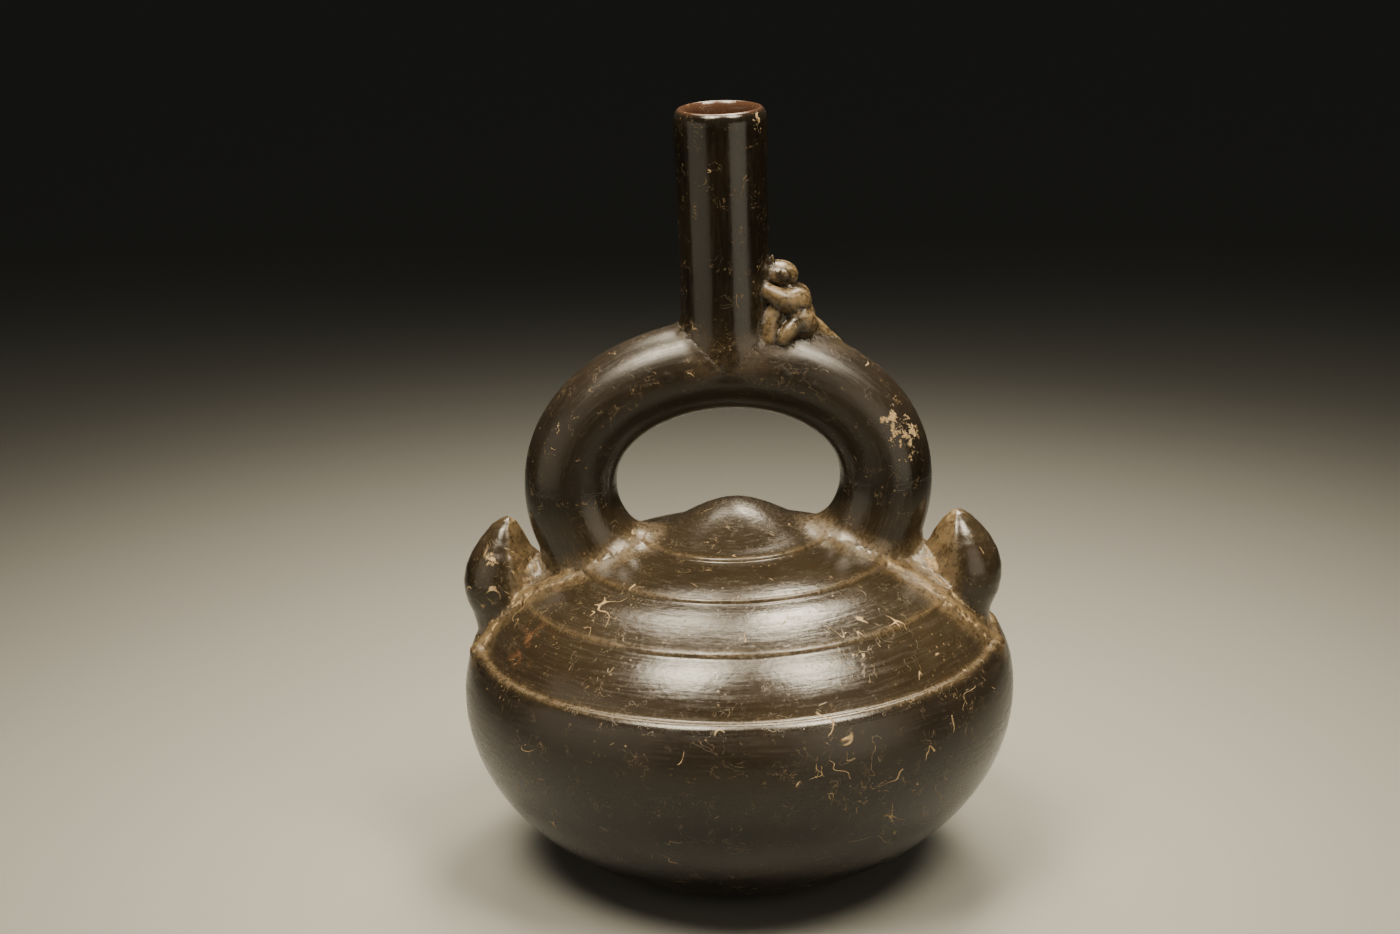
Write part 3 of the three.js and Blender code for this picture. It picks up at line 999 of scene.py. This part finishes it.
def combine(target: bpy.types.Object, tool: bpy.types.Object, how: Joint) -> None:
    """Join a solid to another, or cut it out, and delete it.

    Args:
        target: the object that is changed.
        tool: the object that is joined or cut out.
        how: union or cut.
    """
    step = target.modifiers.new(how.name.lower(), "BOOLEAN")
    step.operation = how.value
    step.solver = "MANIFOLD"
    step.object = tool
    graph = bpy.context.evaluated_depsgraph_get()
    done = bpy.data.meshes.new_from_object(target.evaluated_get(graph))
    target.modifiers.clear()
    old = target.data
    target.data = done
    bpy.data.meshes.remove(old)
    spent = tool.data
    bpy.data.objects.remove(tool)
    bpy.data.meshes.remove(spent)


def vertices(mesh: bpy.types.Mesh) -> Array:
    """Vertex places of a mesh as an array of three columns.

    Args:
        mesh: the mesh to read.

    Returns:
        One row a vertex, in the mesh's own units.
    """
    flat = np.empty(len(mesh.vertices) * 3, np.float32)
    mesh.vertices.foreach_get("co", flat)
    return flat.reshape(-1, 3).astype(float)


# Order of the forms of the outside, in which each lug has a pod, a web and two ridges
CHAMBER, STIRRUP, SPOUT, FIRST_POD = range(4)
LUG_FORMS = 4

Spot = tuple[float, float, float, float]


@dataclass
class Wear:
    """Where earth, flakes and rubbing lie on the clay, and where highlight and shade are painted on it,
    as values from 0 to 1 at each vertex.

    A spot is (x, y, z, radius) in mm: where the skin flaked, where roots left their marks, and where
    iron stained the clay.
    """

    vessel: Vessel
    forms: list[Form]
    points: Array
    flaked: tuple[Spot, ...] = (
        (46.0, -8.0, 125.0, 8.0), (43.0, -11.0, 131.0, 5.0), (46.0, -8.0, 117.0, 6.0),
        (-49.0, -11.0, 131.0, 3.5), (-69.0, -5.0, 92.0, 3.6), (10.0, -8.0, 212.0, 4.0))
    rooted: tuple[Spot, ...] = (
        (24.0, -70.0, 52.0, 16.0), (40.0, -60.0, 36.0, 16.0), (55.0, -50.0, 30.0, 12.0),
        (60.0, -44.0, 62.0, 10.0), (-18.0, -70.0, 28.0, 10.0), (-55.0, -45.0, 40.0, 14.0),
        (30.0, -50.0, 80.0, 10.0), (-36.0, -34.0, 86.0, 10.0), (52.0, -30.0, 20.0, 12.0),
        (0.0, 70.0, 45.0, 30.0), (-66.0, -4.0, 84.0, 12.0))
    stained: tuple[Spot, ...] = ((-58.0, -30.0, 75.5, 7.0),)

    def measure(self) -> dict[str, Array]:
        """Work out all the maps that the finish reads.

        Returns:
            One array a map: crevice, film, groove, edge, flake, marks, brown, roof, stain, lip and
            inside, and the vector map grain, which runs slowly along the burnishing strokes and
            fast across them.
        """
        gaps = np.abs(np.stack([form.distance(self.points) for form in self.forms], 1))
        main = np.argmin(gaps, axis=1)
        second = np.sort(gaps, axis=1)[:, 1]
        figure = main >= len(self.forms) - len(self.vessel.animal.forms())
        x, y, z = self.points.T
        r = np.hypot(x, y)
        high = smooth(128.0, 138.0, z)
        found = {**self.joints(second, figure, high), **self.steps(r, z)}
        for index, lug in enumerate(self.vessel.lugs()):
            self.bury(lug, main == FIRST_POD + LUG_FORMS * index, found)
        found["flake"], found["marks"], found["stain"] = (
            self.spots(places) for places in (self.flaked, self.rooted, self.stained))

        # Browner clay: the front of the bowl under the rim, the upper arch and the peak
        bowl = smooth(66.5, 64.0, z) * smooth(34.0, 56.0, z) * smooth(10.0, -30.0, y)
        arch = 0.9 * smooth(108.0, 128.0, z)
        peak = 0.35 * smooth(20.0, 8.0, r) * smooth(94.0, 98.0, z) * (1.0 - high)
        found["brown"] = np.maximum(bowl, np.where(main == STIRRUP, arch, peak))

        # The roof inside the rim, up to the stirrup's feet and to the peak
        below = np.maximum(smooth(112.0, 100.0, z), (main == CHAMBER) * smooth(30.0, 26.0, r))
        found["roof"] = smooth(65.0, 67.5, z) * smooth(76.0, 71.0, r) * below

        # The spout's lip and the bore, where the unsmoked clay shows
        inner = np.hypot(x - self.vessel.spout.shift, y)
        found["lip"] = smooth(211.0, 214.8, z) * smooth(9.0, 11.0, inner)
        found["inside"] = smooth(12.2, 10.8, inner) * smooth(150.0, 200.0, z)
        found["grain"] = self.grain(main, figure)
        return found

    def joints(self, second: Array, figure: Array, high: Array) -> dict[str, Array]:
        """Earth packed where two forms meet, and thin earth round it. On the animal the thin earth is
        made paler on the open places as a painted highlight, and the hollows stay dark as painted shade.

        Args:
            second: distance to the second nearest form, in mm.
            figure: which vertices lie on the animal, where a little thin earth lies everywhere, with a
                painted highlight added on the open places and the hollows left dark as painted shade.
            high: 1 on the upper arch and the spout, which are cleaner.

        Returns:
            The maps crevice and film.
        """
        crevice = smooth(3.4, 0.2, second) * (1.0 - 0.55 * high)
        film_and_painted_light = 0.42 * smooth(7.0, 0.5, second) * (1.0 - 0.75 * high)
        # On the animal: thin earth everywhere, painted highlight on the open places, and the hollows
        # left dark as painted shade
        return {"crevice": np.where(figure, 0.15 * smooth(2.0, 0.1, second), crevice),
                "film_and_painted_light": np.where(figure, 0.12 + 0.55 * smooth(0.3, 1.7, second), film_and_painted_light)}

    def steps(self, r: Array, z: Array) -> dict[str, Array]:
        """Grooves and rubbed edges of the rim and the steps, Gaussians of the distance to circles.

        Args:
            r: distance of the vertices from the axis, in mm.
            z: height of the vertices, in mm.

        Returns:
            The maps groove and edge.
        """
        chamber = self.vessel.chamber
        radius, height = chamber.rim
        circles = [("groove", radius - 3.6, height + 2.8, 1.2, 0.8),
                   ("edge", radius - 1.6, height + 0.9, 1.4, 1.0)]
        for radius, height in chamber.corners()[1:]:
            circles += [("groove", radius + 0.4, height - chamber.step_height, 0.8, 1.0),
                        ("edge", radius - 0.6, height, 0.9, 1.0)]
        found = {"groove": np.zeros(len(r)), "edge": np.zeros(len(r))}
        for name, radius, height, width, most in circles:
            away = np.hypot(r - radius, z - height)
            found[name] = np.maximum(found[name], most * np.exp(-(away / width) ** 2))
        return found

    def bury(self, lug: Lug, pod: Array, found: dict[str, Array]) -> None:
        """Add the earth on a lug's flat face, its foot, web and ridges, and a paler tip, which is partly
        rubbed wear and partly painted highlight.

        Args:
            lug: the lug.
            pod: which vertices lie on its pod.
            found: the maps so far, of which film, crevice and edge are changed.
        """
        x, _, z = self.points.T
        middle, half, _ = lug.pod().section(z)
        across = lug.side * (middle - x) / half
        flat = smooth(lug.keel - 0.25, lug.keel + 0.2, across)
        foot = smooth(80.0, 68.0, z)
        near = smooth(7.0, -1.0, lug.web().distance(self.points))
        near = near * smooth(lug.side * 66.0, lug.side * 55.0, x)
        around = 0.62 * near
        for ridge in lug.ridges():
            around = np.maximum(around, 0.6 * smooth(3.0, 0.2, ridge.distance(self.points)))
        on_pod = np.maximum(0.65 * flat, 0.25 * foot)
        found["film_and_painted_light"] = np.where(pod, on_pod, np.maximum(found["film_and_painted_light"], around))
        packed = 0.48 * near * smooth(-2.0, 4.0, 90.0 - z)
        found["crevice"] = np.maximum(found["crevice"], np.where(pod, 0.32 * flat, packed))
        # Paler tip: partly rubbed wear, partly painted highlight
        tip = np.array([lug.tip[0], lug.offset, lug.tip[1] + lug.lift])
        away = np.linalg.norm(self.points - tip, axis=1)
        found["edge"] = np.maximum(found["edge"], np.where(pod, np.exp(-(away / 3.0) ** 2), 0.0))

    def spots(self, places: tuple[Spot, ...]) -> Array:
        """Soft round spots, each a Gaussian of the distance to its middle with its own radius.

        Args:
            places: the spots.

        Returns:
            One value a vertex.
        """
        found = np.zeros(len(self.points))
        for x, y, z, radius in places:
            away = np.linalg.norm(self.points - np.array([x, y, z]), axis=1)
            found = np.maximum(found, np.exp(-(away / radius) ** 2))
        return found

    def grain(self, main: Array, figure: Array) -> Array:
        """Vector along which the burnishing strokes are stretched.

        Round the chamber: five times the unit direction from the axis, and the profile length.
        Along the stirrup and the spout: the place round the tube, and about a tenth of the way
        along it. Elsewhere about half the place. The added hundreds keep the patterns apart.

        Args:
            main: index of the nearest form at each vertex.
            figure: which vertices lie on the animal.

        Returns:
            One vector a vertex.
        """
        x, y, z = self.points.T
        r = np.maximum(np.hypot(x, y), 1e-6)
        outline = self.vessel.chamber.outline()
        step = np.linalg.norm(np.diff(outline, axis=0), axis=1)
        length = np.concatenate([[0.0], np.cumsum(step)])
        _, place, _ = nearest(np.stack([r, z], 1), outline)
        along = np.interp(place, np.arange(len(length)), length)
        body = np.stack([5.0 * x / r, 5.0 * y / r, along], 1)
        stations = 160
        path = self.vessel.stirrup.path(0.0, stations)
        _, place, _ = nearest(self.points, path)
        foot = np.stack([np.interp(place, np.arange(stations), path[:, k]) for k in range(3)], 1)
        out = self.points - foot
        away = np.hypot(out[:, 0], out[:, 2]) * np.sign(out[:, 2])
        arm = np.stack([away + 200.0, out[:, 1], 0.12 * place], 1)
        neck = np.stack([x + 400.0, y, 0.08 * z], 1)
        grain = np.where((main == CHAMBER)[:, None], body, 0.4 * self.points)
        grain = np.where((main == STIRRUP)[:, None], arm, grain)
        grain = np.where((main == SPOUT)[:, None], neck, grain)
        return np.where(figure[:, None], 0.6 * self.points + 50.0, grain)


# Finishes

MATH = "ShaderNodeMath"
NOISE = "ShaderNodeTexNoise"
RANGE = "ShaderNodeMapRange"
MIX = "ShaderNodeMix"
CHART = "ShaderNodeAttribute"
EASED = {"interpolation_type": "SMOOTHSTEP"}


def add(tree: bpy.types.NodeTree, kind: str, values: dict | None = None,
        **settings: object) -> bpy.types.Node:
    """Add a node with its settings, its values and its links.

    Args:
        tree: the node tree.
        kind: the node's type name.
        values: what goes into each input, by name or number: a constant, an output to link, or a
            node, whose first live output is linked.
        settings: properties of the node itself.

    Returns:
        The new node.
    """
    made = tree.nodes.new(kind)
    for name, value in settings.items():
        setattr(made, name, value)
    for key, value in (values or {}).items():
        socket = made.inputs[key]
        if isinstance(value, bpy.types.Node):
            value = next(output for output in value.outputs if output.enabled)
        if isinstance(value, bpy.types.NodeSocket):
            tree.links.new(value, socket)
        else:
            socket.default_value = value
    return made


@dataclass(frozen=True)
class Blackware:
    """Low-fired clay, smoked black and rubbed with a pebble: brown-black, satin to glossy, streaked
    along the pebble's strokes, with pale earth left in every hollow after burial."""

    smoked: str = "110e0a"
    warm: str = "261e14"
    grey: str = "3a352c"
    ochre: str = "86704e"
    pale: str = "b49b74"
    rust: str = "4a3120"
    bare_clay: str = "4d3527"
    gloss: float = 0.13
    matt: float = 0.62
    ior: float = 1.5

    def patterns(self, tree: bpy.types.NodeTree) -> dict[str, bpy.types.Node]:
        """Cloudy patterns, each with the width of its patches in real millimetres.

        The pebble's strokes are about 0.3 mm wide on such a pot and are drawn at 0.75 mm, so that
        they show.

        Args:
            tree: the material's node tree.

        Returns:
            One node a pattern.
        """
        place = add(tree, "ShaderNodeTexCoord").outputs["Object"]
        grain = add(tree, CHART, attribute_name="grain").outputs["Vector"]
        found = {}
        for name, where, width, detail, rough, warp in (
                ("streaks", grain, 0.75, 2.5, 0.55, 0.0),
                ("broad", grain, 6.0, 3.0, 0.5, 0.0),
                ("dents", place, 2.4 * MM, 2.0, 0.5, 0.0),
                ("cloud", place, 24.0 * MM, 5.0, 0.6, 0.6),
                ("fine", place, 1.1 * MM, 5.0, 0.7, 0.0),
                ("lumps", place, 3.4 * MM, 6.0, 0.68, 0.0),
                ("chips", place, 2.6 * MM, 6.0, 0.72, 0.0),
                ("long_root", place, 13.0 * MM, 1.5, 0.4, 0.9),
                ("long_patch", place, 9.0 * MM, 2.0, 0.5, 0.0),
                ("short_root", place, 5.5 * MM, 1.5, 0.4, 1.2),
                ("short_patch", place, 4.5 * MM, 2.0, 0.5, 0.0),
                ("hair", place, 6.0 * MM, 2.0, 0.5, 2.0),
                ("hair_patch", place, 5.0 * MM, 2.0, 0.5, 0.0),
                ("dot_patch", place, 14.0 * MM, 2.0, 0.55, 0.0)):
            found[name] = add(tree, NOISE, {"Vector": where, "Scale": 1.0 / width, "Detail": detail,
                                            "Roughness": rough, "Distortion": warp})
        found["cells"] = add(tree, "ShaderNodeTexVoronoi", {"Vector": place, "Scale": 1.0 / (2.3 * MM)})
        return found

    def earth(self, tree: bpy.types.NodeTree, noise: dict[str, bpy.types.Node],
              chart: dict[str, bpy.types.Node]) -> tuple[bpy.types.Node, bpy.types.Node]:
        """Burial earth, thin and thick.

        Args:
            tree: the material's node tree.
            noise: the cloudy patterns.
            chart: the maps at the vertices.

        Returns:
            The thin earth, which dulls the clay and is also painted highlight and shade on the animal
            and painted highlight at the lugs' tips, and the thick deposits with the root marks.
        """
        # Thin earth: on the roof, round the joints and on the worn edges of the steps, broken by noise.
        # On the animal it is also painted highlight and painted shade, and at the lugs' tips painted
        # highlight
        haze_and_painted_light = 0.0
        for name, share in (("film_and_painted_light", 0.85), ("edge", 0.22)):
            haze_and_painted_light = add(tree, MATH, {0: chart[name], 1: share, 2: haze_and_painted_light}, operation="MULTIPLY_ADD")
        mottle = add(tree, MATH, {0: noise["fine"], 1: noise["lumps"]})
        mottle = add(tree, RANGE, {"Value": mottle, "From Min": 0.78, "From Max": 1.18, "To Min": 0.2,
                                   "To Max": 0.9}, **EASED)
        even = add(tree, MATH, {0: chart["roof"], 1: 0.05}, operation="MULTIPLY")
        haze_and_painted_light = add(tree, MATH, {0: haze_and_painted_light, 1: mottle, 2: even}, operation="MULTIPLY_ADD")

        # Deposits: packed into joints and grooves, and left where the surface flaked
        packed = 0.0
        for source, share in ((chart["crevice"], 0.5), (chart["groove"], 0.22), (chart["lip"], 0.12),
                              (noise["lumps"], 0.5), (noise["fine"], 0.5)):
            packed = add(tree, MATH, {0: source, 1: share, 2: packed}, operation="MULTIPLY_ADD")
        packed = add(tree, RANGE, {"Value": packed, "From Min": 0.88, "From Max": 1.02, "To Max": 0.85},
                     **EASED)
        flakes = add(tree, MATH, {0: chart["flake"], 1: 0.42, 2: noise["chips"]},
                     operation="MULTIPLY_ADD")
        flakes = add(tree, RANGE, {"Value": flakes, "From Min": 0.85, "From Max": 0.89}, **EASED)
        thick = add(tree, MATH, {0: packed, 1: flakes}, operation="MAXIMUM")

        # Root marks: thin winding lines where a pattern crosses its middle level, kept in patches.
        # They are drawn about twice as wide as the real hair-thin marks, so that they show
        for line, patch, width, spare, near, strength in (
                ("long_root", "long_patch", 0.0075, 0.64, 0.2, 0.95),
                ("short_root", "short_patch", 0.011, 0.715, 0.2, 0.85),
                ("hair", "hair_patch", 0.012, 0.53, 0.06, 0.22)):
            away = add(tree, MATH, {0: noise[line], 1: 0.5}, operation="SUBTRACT")
            away = add(tree, MATH, {0: away}, operation="ABSOLUTE")
            thin = add(tree, RANGE, {"Value": away, "From Min": width, "From Max": 0.25 * width,
                                     "To Max": strength}, **EASED)
            where = add(tree, MATH, {0: chart["marks"], 1: near, 2: noise[patch]},
                        operation="MULTIPLY_ADD")
            where = add(tree, RANGE, {"Value": where, "From Min": spare, "From Max": spare + 0.05},
                        **EASED)
            marks = add(tree, MATH, {0: thin, 1: where}, operation="MULTIPLY")
            thick = add(tree, MATH, {0: thick, 1: marks}, operation="MAXIMUM")

        # Specks of earth in the pits
        dots = add(tree, RANGE, {"Value": noise["cells"].outputs["Distance"], "From Min": 0.2,
                                 "From Max": 0.06, "To Max": 0.45}, **EASED)
        where = add(tree, RANGE, {"Value": noise["dot_patch"], "From Min": 0.5, "From Max": 0.68},
                    **EASED)
        dots = add(tree, MATH, {0: dots, 1: where}, operation="MULTIPLY")
        return haze_and_painted_light, add(tree, MATH, {0: thick, 1: dots}, operation="MAXIMUM")

    def material(self) -> bpy.types.Material:
        """Build the shader from the maps at the vertices and the patterns.

        Returns:
            The finish of the whole vessel.
        """
        made = bpy.data.materials.new("burnished_blackware")
        made.use_nodes = True
        tree = made.node_tree
        tree.nodes.clear()
        noise = self.patterns(tree)
        chart = {name: add(tree, CHART, attribute_name=name).outputs["Fac"] for name in (
            "crevice", "film_and_painted_light", "groove", "edge", "flake", "marks", "brown", "roof", "stain", "lip",
            "inside")}
        haze_and_painted_light, thick = self.earth(tree, noise, chart)

        # Ranges of the patterns that shade the clay
        tone = {name: add(tree, RANGE, {"Value": noise[name], "From Min": low, "From Max": high},
                          **EASED)
                for name, low, high in (("cloud", 0.36, 0.7), ("streaks", 0.4, 0.75),
                                        ("fine", 0.42, 0.72), ("lumps", 0.5, 0.62))}

        # Smoke clouds and strokes on the clay, then its stains, then the earth over all, whose thin
        # layer is also painted highlight and shade on the animal and painted highlight at the lugs' tips
        colour = linear(self.smoked)
        faint = add(tree, MATH, {0: chart["roof"], 1: 0.15, 2: 0.1}, operation="MULTIPLY_ADD")
        for one, two, shade in (
                (tone["cloud"], 0.45, self.warm), (tone["streaks"], faint, self.grey),
                (tone["fine"], 0.18, self.warm), (chart["brown"], 0.35, self.warm),
                (tone["lumps"], chart["stain"], self.rust), (chart["inside"], 0.7, self.bare_clay),
                (haze_and_painted_light, 1.0, self.ochre)):
            share = add(tree, MATH, {0: one, 1: two}, operation="MULTIPLY")
            colour = add(tree, MIX, {0: share, 6: colour, 7: linear(shade)}, data_type="RGBA")
        soil = add(tree, MIX, {0: tone["fine"], 6: linear(self.ochre), 7: linear(self.pale)},
                   data_type="RGBA")
        colour = add(tree, MIX, {0: thick, 6: colour, 7: soil}, data_type="RGBA")

        # Polished clay is smooth, earth is matt; relief follows the strokes, the pits and the earth
        rough, relief = self.gloss, 0.0
        for source, share in ((tone["streaks"], 0.1), (tone["fine"], 0.08), (thick, self.matt),
                              (haze_and_painted_light, 0.55), (chart["roof"], 0.02), (chart["brown"], 0.17)):
            rough = add(tree, MATH, {0: source, 1: share, 2: rough}, operation="MULTIPLY_ADD")
        strokes = add(tree, MATH, {0: chart["roof"], 1: 0.14, 2: 0.05}, operation="MULTIPLY_ADD")
        dents = add(tree, MATH, {0: chart["roof"], 1: 0.34, 2: 0.06}, operation="MULTIPLY_ADD")
        for source, share in ((noise["broad"], 0.6), (noise["streaks"], strokes), (noise["fine"], 0.16),
                              (noise["dents"], dents), (thick, 0.4)):
            relief = add(tree, MATH, {0: source, 1: share, 2: relief}, operation="MULTIPLY_ADD")
        bump = add(tree, "ShaderNodeBump", {"Height": relief, "Strength": 0.7, "Distance": 0.25 * MM})
        shader = add(tree, "ShaderNodeBsdfPrincipled", {
            "Base Color": colour, "Roughness": rough, "IOR": self.ior, "Normal": bump})
        add(tree, "ShaderNodeOutputMaterial", {"Surface": shader})
        return made


@dataclass(frozen=True)
class PaleFloor:
    """Uncoated pale paper: matt, so it takes soft shadows and no reflections."""

    shade: str = "72726e"
    matt: float = 0.9

    def material(self) -> bpy.types.Material:
        """Build the floor's plain matt shader.

        Returns:
            The finish of the floor.
        """
        made = bpy.data.materials.new("pale_paper")
        made.use_nodes = True
        tree = made.node_tree
        tree.nodes.clear()
        shader = add(tree, "ShaderNodeBsdfPrincipled", {
            "Base Color": linear(self.shade), "Roughness": self.matt})
        add(tree, "ShaderNodeOutputMaterial", {"Surface": shader})
        return made


# Studio

@dataclass
class Studio:
    """Pale floor, soft lights and the camera."""

    eye: tuple[float, float, float] = (-0.0308, -0.8011, 0.3537)
    look: tuple[float, float, float] = (0.0217, 0.9581, -0.2855)
    lens: float = 77.63
    reach: float = 3.0
    lamp_shade: str = "fff1d6"
    surround_shade: str = "d0d0c8"
    surround_strength: float = 0.07

    def floor(self) -> bpy.types.Object:
        """Level floor: a square grid x(i), y(j) at the height of the underside.

        Returns:
            The floor's object.
        """
        side = np.linspace(-self.reach, self.reach, 13)
        x, y = np.meshgrid(side, side)
        grid = np.stack([x, y, 0.0 * x], -1).reshape(-1, 3)
        number = np.arange(len(grid)).reshape(len(side), -1)
        quads = np.stack([number[:-1, :-1], number[:-1, 1:], number[1:, 1:], number[1:, :-1]], -1)
        data = bpy.data.meshes.new("floor")
        data.from_pydata(grid.tolist(), [], quads.reshape(-1, 4).tolist())
        made = bpy.data.objects.new("floor", data)
        bpy.context.scene.collection.objects.link(made)
        data.materials.append(PaleFloor().material())
        return made

    def light(self, name: str, place: tuple[float, float, float], aim: tuple[float, float, float],
              size: tuple[float, float], power: float, spread: float) -> None:
        """Hang one rectangular soft light, aimed at a point, its grid passing a spread in degrees.

        Args:
            name: the light's name.
            place: where its middle hangs, in metres.
            aim: the point that it faces.
            size: width and height in metres.
            power: in watts.
            spread: angle that its grid lets through, in degrees.
        """
        lamp = bpy.data.lights.new(name, "AREA")
        lamp.shape = "RECTANGLE"
        lamp.size, lamp.size_y = size
        lamp.energy = power
        lamp.spread = np.radians(spread)
        lamp.color = linear(self.lamp_shade)[:3]
        made = bpy.data.objects.new(name, lamp)
        bpy.context.scene.collection.objects.link(made)
        made.location = place
        made.rotation_euler = (Vector(aim) - Vector(place)).to_track_quat("-Z", "Y").to_euler()

    def lights(self) -> None:
        """A low soft box on each side, four overhead, and an even dim surround."""
        low, high, wide, narrow = (0.0, 0.0, 0.12), (0.0, 0.0, 0.1), 140.0, 38.0
        self.light("left_box", (-0.41, -0.21, 0.16), low, (0.48, 0.32), 0.27, wide)
        self.light("right_box", (0.31, -0.36, 0.16), low, (0.36, 0.32), 0.34, wide)
        self.light("front_left_box", (-0.28, -0.28, 0.95), high, (0.44, 0.6), 1.95, narrow)
        self.light("front_right_box", (0.31, -0.28, 0.95), high, (0.4, 0.6), 1.6, narrow)
        self.light("back_right_box", (0.13, 0.42, 0.95), high, (0.34, 0.6), 1.5, narrow)
        self.light("back_left_box", (-0.2, 0.4, 0.95), high, (0.28, 0.45), 0.4, narrow)
        world = bpy.data.worlds.new("surround")
        world.use_nodes = True
        bpy.context.scene.world = world
        back = next(n for n in world.node_tree.nodes if n.type == "BACKGROUND")
        back.inputs["Color"].default_value = linear(self.surround_shade)
        back.inputs["Strength"].default_value = self.surround_strength

    def camera(self) -> None:
        """Camera at the measured place and angle, level across."""
        data = bpy.data.cameras.new("camera")
        data.sensor_fit = "HORIZONTAL"
        data.sensor_width = 36.0
        data.lens = self.lens
        data.clip_start = 0.05
        made = bpy.data.objects.new("camera", data)
        bpy.context.scene.collection.objects.link(made)
        made.location = self.eye
        made.rotation_euler = Vector(self.look).to_track_quat("-Z", "Y").to_euler()
        bpy.context.scene.camera = made


def dress(vessel: Vessel) -> bpy.types.Object:
    """Build the vessel's one piece with its maps and its finish.

    Args:
        vessel: the sizes of the vessel.

    Returns:
        The finished object.
    """
    whole, forms = vessel.join()
    whole.name = whole.data.name = "vessel_body"
    data = whole.data
    upright = vertices(data) / MM
    maps = Wear(vessel, forms, upright).measure()
    data.vertices.foreach_set("co", (vessel.stand(upright) * MM).astype(np.float32).ravel())
    for name, values in maps.items():
        kind, field_name = ("FLOAT_VECTOR", "vector") if values.ndim == 2 else ("FLOAT", "value")
        layer = data.attributes.new(name, kind, "POINT")
        layer.data.foreach_set(field_name, values.astype(np.float32).ravel())
    data.polygons.foreach_set("use_smooth", np.ones(len(data.polygons), bool))
    data.materials.clear()
    data.materials.append(Blackware().material())
    data.update()
    return whole


def main() -> None:
    """Build the vessel and its studio and report each piece."""
    logging.basicConfig(level=logging.INFO, format="%(name)s: %(message)s")
    piece = dress(Vessel())
    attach(piece, "root")
    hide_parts(NODE)
    log.info("%s: %d vertices, %d faces", piece.name, len(piece.data.vertices), len(piece.data.polygons))
    studio = Studio()
    floor = studio.floor()
    studio.lights()
    studio.camera()
    log.info("floor, lights and camera are in place")
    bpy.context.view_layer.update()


if __name__ == "__main__":
    main()
